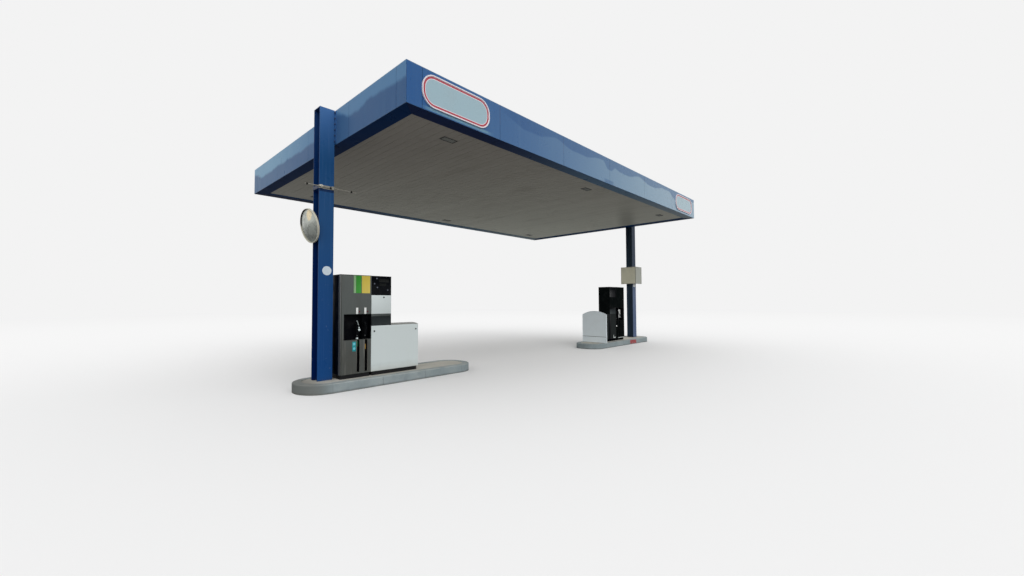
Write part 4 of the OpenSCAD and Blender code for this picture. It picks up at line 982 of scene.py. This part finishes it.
class CANOPY_OT_fittings(bpy.types.Operator):
    """Finishes the traffic mirror, the banner bar and the notice board"""
    bl_idname = "canopy.fittings"
    bl_label = "Fittings"

    def execute(self, context):
        look = context.scene.canopy_signs
        dress(zinc_coat("fitting_zinc", context.scene.canopy_paints.zinc), "mirror_bracket")
        dress(mirror_glass(look.mirror), "mirror_face")
        bar = Finish("bar_paint", tone(160, 158, 148), 0.4, Specular_IOR_Level=0.3)
        bar.lay(bar.noise(30.0, 4), 128, 126, 116)
        # Pale patch on the top at the bar's left end: painted highlight.
        bar.lay(bar.x.between(-0.125, -0.060, 0.012) * bar.z.over(3.552, 3.566), 222, 218, 204)
        # The bar where it runs behind the column's flange, dark navy: painted shade.
        bar.lay(bar.y.over(FLANGE - 0.003, FLANGE + 0.004) * abs(bar.x).under(0.16, 0.17), 20, 38, 74)
        dress(bar.cover(0.4), "banner_bar")

        turn, dip = radians(5), radians(12)
        aim = Vector((-cos(dip) * cos(turn), -cos(dip) * sin(turn), -sin(dip)))
        shell = Finish("mirror_plastic", tone(40, 42, 44))
        ahead = shell.x * aim.x + shell.y * aim.y + shell.z * aim.z - MIRROR.dot(aim)
        shell.lay(ahead.over(-0.034, -0.026) * (1 - rim_shade(shell)), 190, 187, 170)
        dress(shell.cover(0.5, shell.grain(240.0, 0.0003, 0.3)), "mirror_shell")
        clear()
        bpy.ops.mesh.primitive_torus_add(major_segments=72, minor_segments=10, major_radius=0.291,
                                         minor_radius=0.0085, location=MIRROR + aim * 0.014,
                                         rotation=aim.to_track_quat("Z", "Y").to_euler())
        rim = smooth(settle(context.object), 60)
        plastic = Finish("rim_plastic", tone(196, 193, 178))
        plastic.lay(rim_shade(plastic), 66, 60, 56)
        one("mirror_rim", [rim], plastic.cover(0.45, plastic.grain(240.0, 0.0003, 0.3)))

        heads = [bolt((-0.0118, y, MIRROR.z + z), -X, 0.013, 0.006) for y in (-0.034, 0.034)
                 for z in (-0.034, 0.034)]
        heads += [bolt((x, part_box("banner_bar")[0].y + 0.004, z), -Y, 0.010, 0.005)
                  for x in (-0.100, 0.100) for z in (3.530, 3.570)]
        one("fitting_bolts", heads, bare_metal("fitting_bolt_metal", tone(150, 152, 152)))

        clamps = [turned([(0, 0.0190), (0.019, 0.0190), (0.022, 0.0165)], (x, -0.1443, 3.550), X, 20, 0.0008)
                  for x in (-0.3515, 0.049, 0.4315)]
        one("bar_clamps", clamps, moulded("clamp_rubber", tone(14, 15, 16), 0.6))

        start, centre = (0.180, -0.144, 3.552), (0.290, -0.144, 3.552)
        clear()
        bpy.ops.mesh.primitive_circle_add(vertices=8, radius=0.0022, fill_type="NGON", location=start)
        wire = settle(context.object)
        shape(wire)
        bpy.ops.mesh.spin(steps=24, angle=radians(180), center=centre, axis=(0, 1, 0))
        shape(tidy(wire))
        bpy.ops.transform.resize(value=(1, 1, 0.62), center_override=centre)
        one("banner_wire", [smooth(wire, 60)], bare_metal("wire_metal", tone(186, 184, 176)))

        low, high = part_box("notice_board")
        board = Finish("board_paint", look.board, 0.4, Specular_IOR_Level=0.3)
        clouds = board.noise(4.5, 5).over(0.4, 0.8)
        board.lay(board.x.over(low.x + 0.006, low.x + 0.008), 161, 164, 155)
        board.lay(clouds * 0.22, 150, 148, 134)
        dress(board.cover(0.34 + 0.2 * clouds, board.grain(90.0, 0.0004, 0.25)), "notice_board")
        side = ring_slab((low.x - 0.004, low.y + 0.002, low.z), (low.x + 0.004, high.y, high.z), X, 0.018)
        one("board_side_trim", [side],
            matt_paint("trim_paint", tone(176, 172, 156), tone(130, 126, 114)))
        ahead = ring_slab((low.x, low.y - 0.004, low.z), (high.x, low.y + 0.004, high.z), Y, 0.018)
        one("board_front_trim", [ahead],
            matt_paint("front_trim_paint", tone(150, 152, 144), tone(116, 114, 106)))
        screws = [screw(place, aim) for z in (low.z + 0.009, high.z - 0.009) for place, aim in (
            ((low.x - 0.004, low.y + 0.011, z), -X), ((low.x - 0.004, high.y - 0.009, z), -X),
            ((low.x + 0.009, low.y - 0.004, z), -Y), ((high.x - 0.009, low.y - 0.004, z), -Y))]
        one("board_screws", screws, bare_metal("board_screw_metal", tone(120, 120, 116)))
        plate = sunk_slab((11.545, FLANGE - 0.0020, 2.070), (11.705, FLANGE + 0.0005, 2.185), -Y,
                          0.004, 0.0006, 0.0004)
        one("far_column_plate", [plate],
            paper_sheet("column_tag", tone(214, 218, 214), tone(180, 182, 176)))
        return {"FINISHED"}


class CANOPY_OT_pumps(bpy.types.Operator):
    """Finishes the pumps and adds their profiles, labels, windows and buttons"""
    bl_idname = "canopy.pumps"
    bl_label = "Pumps"

    def execute(self, context):
        look = context.scene.canopy_pumps
        black = moulded("pump_black", look.black)
        # Near-black finish for the far pump: painted shade.
        far_pump_shade = moulded("far_pump_shade", look.open, 0.5, 420.0, 0.0)
        dress(brushed_sheet(look.steel, look.black), "left_pump_tower")
        dress(far_pump_shade, "right_pump_tower", "right_pump_head")
        dress(enamel("cabinet_enamel", look.enamel, look.black), "left_pump_cabinet")
        dress(enamel("far_cabinet_enamel", look.enamel, look.black, look.open), "right_pump_cabinet")
        # Paler, cooler copy of the cabinet enamel for the end panel, which faces away from the lamp: painted light.
        dress(paper_sheet("end_panel_enamel", tone(216, 225, 229), tone(202, 207, 206)), "right_end_panel")
        dress(black, "left_pump_head", "left_nozzle_panel", "right_nozzle_panel")
        profile = bare_metal("corner_profile", look.profile, 0.5)
        white = enamel("head_enamel", look.enamel, look.enamel)
        strip = bare_metal("head_strip", tone(92, 98, 97), 0.45)
        trim = bare_metal("slot_trim", tone(134, 134, 128), 0.4)
        tag = paper_sheet("tag_white", look.tag, tone(196, 198, 194))
        # The towers' sides are covered near black: painted shade; the same finish is used for the real dark seams,
        # hinges and vents.
        dark = moulded("side_panel", tone(3, 7, 18), 0.4)
        groove = moulded("profile_groove", tone(52, 54, 50), 0.5)
        steel = bare_metal("rear_steel", tone(100, 104, 101), 0.42)
        glass = moulded("display_glass", tone(8, 11, 15), 0.3, 40.0)
        band = moulded("head_band", tone(44, 49, 51), 0.4)
        tower, head, panel, cabinet = "pump_tower", "pump_head", "nozzle_panel", "pump_cabinet"

        for side in PUMPS:
            near = side == "left"
            # Name, slot, finish, kind of part, and the parts in millimetres
            rows = [
                # On the far pump the corner profiles, slot trims, head panel and head strip are dark: painted shade.
                ("corner_profile", tower, profile if near else far_pump_shade, pump_slab,
                 (-3, -3, 80, 14, 0.5, 1846, 1.2), (-3, -3, 80, 0.5, 62, 1846, 1.2)),
                ("profile_groove", tower, groove, pump_slab, (15, -0.7, 80, 24, 0.4, 1846, 0.3)),
                # The tower's side, near black: painted shade.
                ("side_panel", tower, dark, pump_slab, (-2.5, 66, 80, 0.5, 424, 1846)),
                ("tower_cap", head, black, pump_slab, (-3.5, -3.5, 1849, 588, 433, 1857, 2),
                 (586, -3, 1849, 997, 431.5, 1855, 2)),
                ("recess_frame", panel, black, pump_ring, (66, -3.5, 686, 585, 1, 1144)),
                ("slot_trims", tower, trim if near else black, pump_ring,
                 *((x - 32, -2, 94, x + 32, 1, 686) for x in NOZZLES)),
                ("display_plate", head, glass, pump_sunk, (587, -1.5, 1500, 993, 10.5, 1847, 7, 2)),
                ("head_panel", head, white if near else far_pump_shade, pump_slab,
                 (587, -2.5, 1142, 993, 10.5, 1492, 2)),
                ("head_band", head, band, pump_sunk, (587, -1.5, 924, 993, 10.5, 1084, 7, 2)),
                ("head_strip", head, strip if near else black, pump_slab, (587, -2.5, 1090, 993, 10.5, 1134, 2)),
                ("tower_rear_door", tower, steel, pump_slab, (14, 429.5, 90, 571, 433, 1130, 1.5),
                 (14, 429.5, 1136, 571, 433, 1838, 1.5)),
                ("cabinet_rear_door", cabinet, white, pump_slab, (600, 429.5, 190, 1595, 433, 905, 1.5),
                 (600, 429.5, 80, 1595, 433, 186, 1.5)),
                ("cabinet_hinges", cabinet, dark, pump_slab,
                 *((x - 30, 427, z, x + 30, 436, z + 14, 2) for x in (760, 1440) for z in (200, 840))),
                ("rear_vents", cabinet, dark, pump_slab,
                 *(box for i in range(8) for box in ((690, 432, 300 + i * 22, 890, 436, 308 + i * 22, 1.5),
                                                     (140, 432, 960 + i * 16, 440, 436, 966 + i * 16, 1.5)))),
                ("cabinet_locks", cabinet, black, pump_round,
                 *((x, -8.5, 820, 28, (0, 15.5), (3, 15.5), (4, 14)) for x in (645, 1550)))]
            if near:
                labels = (("first_label", look.first_label, tone(60, 124, 60), 286, 387),
                          ("first_label_edge", tone(132, 168, 124), tone(110, 150, 104), 243, 284),
                          ("second_label", look.second_label, tone(184, 172, 100), 397, 558))
                rows += [(name, tower, paper_sheet(name, color, dirt), pump_sunk,
                          (start, -2.5, 1527, end, 0.5, 1847, 3, 0.7)) for name, color, dirt, start, end in labels]
                rows += [
                    ("tags", tower, tag, pump_slab, *((x, -2, 1148, x + 40, 0.5, 1262) for x in (290, 448))),
                    ("tag_marks", tower, moulded("tag_mark", tone(96, 22, 44), 0.5), pump_round,
                     *((x, 0, 1190, 20, (0, 13), (1.2, 13), (2, 10)) for x in (354, 512))),
                    ("teal_label", tower, paper_sheet("teal_label", look.teal, tone(52, 128, 132)), pump_slab,
                     (225, -2, 478, 292, 0.5, 652)),
                    ("teal_middles", tower, paper_sheet("teal_middle", tone(104, 190, 206), tone(80, 160, 174)),
                     pump_round, *((258, -1.8, z, 28, (0, 24), (1, 24), (1.5, 22)) for z in (608, 528))),
                    ("tower_seam", tower, dark, pump_slab, (68, -1.2, 1146, 585, 0.4, 1148, 0.4)),
                    ("display_fields", head, moulded("display_field", tone(28, 30, 29), 0.35), pump_sunk,
                     (742, -1, 1738, 942, 1.5, 1798, 4, 1), (752, -1, 1672, 884, 1.5, 1716, 4, 1)),
                    ("buttons", head, moulded("button_plastic", tone(92, 96, 106), 0.4), pump_slab,
                     *((x - 13, -4, z - 13, x + 13, 1, z + 13, 3)
                       for x, z in ((695, 1806), (647, 1706), (706, 1638), (920, 1592)))),
                    ("head_lock", head, black, pump_round, (838, -2.3, 1452, 24, (0, 14), (5, 14), (6, 12))),
                    ("lid_seam", cabinet, dark, pump_slab, (1604, 2, 905, 1611.5, 428, 909, 0.8))]
            else:
                rows += [
                    ("tray", cabinet, white, pump_slab, (20, -4.5, 80, 440, 0.5, 100, 2),
                     (756, -12, 108, 780, -7, 205, 2), (640, -14, 96, 780, -7, 134, 3)),
                    ("black_strip", cabinet, black, pump_slab, (967, -10, 80, 1080, -7, 905)),
                    ("pale_knob", tower, tag, pump_round, (557, 0.5, 500, 24, (0, 26), (14, 26), (18, 18))),
                    ("pale_sheet", panel, tag, pump_slab, (74, 108, 770, 290, 116.8, 1070, 2))]
            for name, slot, finish, make, *parts in rows:
                one(f"{side}_{name}", [make(side, *part) for part in parts], finish)

        low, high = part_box("right_end_panel")
        heads = [screw((low.x, y, z), -X, 0.007, 0.003) for y in (low.y + 0.010, high.y - 0.010)
                 for z in (0.25, 1.00)]
        one("end_panel_screws", heads, bare_metal("panel_screws", tone(150, 152, 152)))
        seam = slab((low.x - 0.0008, low.y + 0.002, 0.350), (low.x + 0.001, high.y - 0.002, 0.359), 0)
        one("end_panel_seam", [seam], groove)
        return {"FINISHED"}


class CANOPY_OT_nozzles(bpy.types.Operator):
    """Builds the fuelling nozzles and finishes the hoses with their sleeves"""
    bl_idname = "canopy.nozzles"
    bl_label = "Nozzles and hoses"

    def execute(self, context):
        look = context.scene.canopy_pumps
        dress(moulded("hose_rubber", tone(7, 8, 10), 0.55, 260.0), "left_hoses", "right_hoses")
        body = moulded("nozzle_plastic", tone(10, 12, 15), 0.4)
        metal = bare_metal("nozzle_metal", tone(84, 86, 88), 0.4)
        pale = moulded("pale_plastic", tone(206, 218, 218), 0.4)
        sleeves = (("first_sleeve", moulded("first_sleeve", look.sleeve, 0.4), 563),
                   ("second_sleeve", moulded("second_sleeve", look.second_sleeve, 0.4), 500))
        for side in PUMPS:
            shells, metals = [], []
            for x in NOZZLES:
                shells.append(pump_round(side, x, 45, 762, 28, (0, 13.5), (12, 16), (30, 16.5), (45, 14.5), (90, 15),
                                         (130, 17), (158, 20), (172, 23.5), (215, 24.5), (232, 22.5), (240, 15),
                                         aim=Z))
                shells += [pump_slab(side, x - 7, -4.5, z, x + 7, y, end, 3.5)
                           for y, z, end in ((5, 768, 926), (40, 762, 773), (40, 917, 929))]
                shells.append(pump_round(side, x, 62, 965, 24, (0, 19), (22, 19), (30, 16), aim=Y))
                metals.append(pump_round(side, x, 92, 965, 24, (0, 14.5), (10, 14.5), (14, 11.8), (24, 11.5), aim=Y))
                metals.append(pump_round(side, x, 45, 742, 24, (0, 10), (3, 16), (16, 16), (20, 13.5), aim=Z))
            nozzles = one(f"{side}_nozzle_bodies", shells, body)
            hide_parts(f"{side}_nozzles")
            one(f"{side}_nozzle_metal", metals, metal)
            lever = pump_point(side, 316, 20, 1029) - pump_point(side, 350, 20, 944)
            knobs = [pump_round(side, 338, -4, 862, 28, (0, 9), (20, 9), (21, 20.5), (30, 22.5), (36, 19.5),
                                (40, 11)),
                     pump_round(side, 338, -4, 903, 24, (0, 6), (14, 6), (15, 12), (22, 12), (25, 8)),
                     pump_round(side, 350, 20, 944, 12, (0, 3.4), (92, 3.4), (93, 2), aim=lever)]
            if side == "left":
                knobs.append(pump_round(side, 335, 45, 690, 24, (0, 14), (3, 18.5), (26, 18.5), (30, 14), aim=Z))
            one(f"{side}_nozzle_knobs", knobs, pale if side == "left" else body)
            for x, (name, finish, z) in zip(NOZZLES, sleeves):
                sleeve = pump_round(side, x, 45, z, 28, (0, 14.5), (2, 17.5), (20, 18), (70, 18), (90, 17),
                                    (94, 14.5), aim=Z)
                one(f"{side}_{name}", [sleeve], finish)
        return {"FINISHED"}


class CANOPY_PT_panel(bpy.types.Panel):
    """Lists the steps that dress the canopy"""
    bl_idname = "CANOPY_PT_panel"
    bl_label = "Filling station canopy"
    bl_space_type = "VIEW_3D"
    bl_region_type = "UI"
    bl_category = "Canopy"

    def draw(self, context):
        for step in STEPS:
            self.layout.operator(step.bl_idname)
        for group, place in GROUPS.items():
            box = self.layout.box()
            box.label(text=group.bl_rna.description)
            for name in group.__annotations__:
                box.prop(getattr(context.scene, place), name)


GROUPS = {CanopyPaints: "canopy_paints", CanopySigns: "canopy_signs", CanopyGround: "canopy_ground",
          CanopyPumps: "canopy_pumps", CanopyStage: "canopy_stage"}
STEPS = (CANOPY_OT_stage, CANOPY_OT_steelwork, CANOPY_OT_roof, CANOPY_OT_fascia, CANOPY_OT_ceiling,
         CANOPY_OT_signs, CANOPY_OT_islands, CANOPY_OT_fittings, CANOPY_OT_pumps, CANOPY_OT_nozzles)


def register():
    for part in (*GROUPS, *STEPS, CANOPY_PT_panel):
        bpy.utils.register_class(part)
    for group, name in GROUPS.items():
        setattr(bpy.types.Scene, name, PointerProperty(type=group))


def unregister():
    for name in GROUPS.values():
        delattr(bpy.types.Scene, name)
    for part in reversed((*GROUPS, *STEPS, CANOPY_PT_panel)):
        bpy.utils.unregister_class(part)


def main():
    register()
    for step in STEPS:
        space, name = step.bl_idname.split(".")
        getattr(getattr(bpy.ops, space), name)()
    clear()
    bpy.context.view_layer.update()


if __name__ == "__main__":
    main()
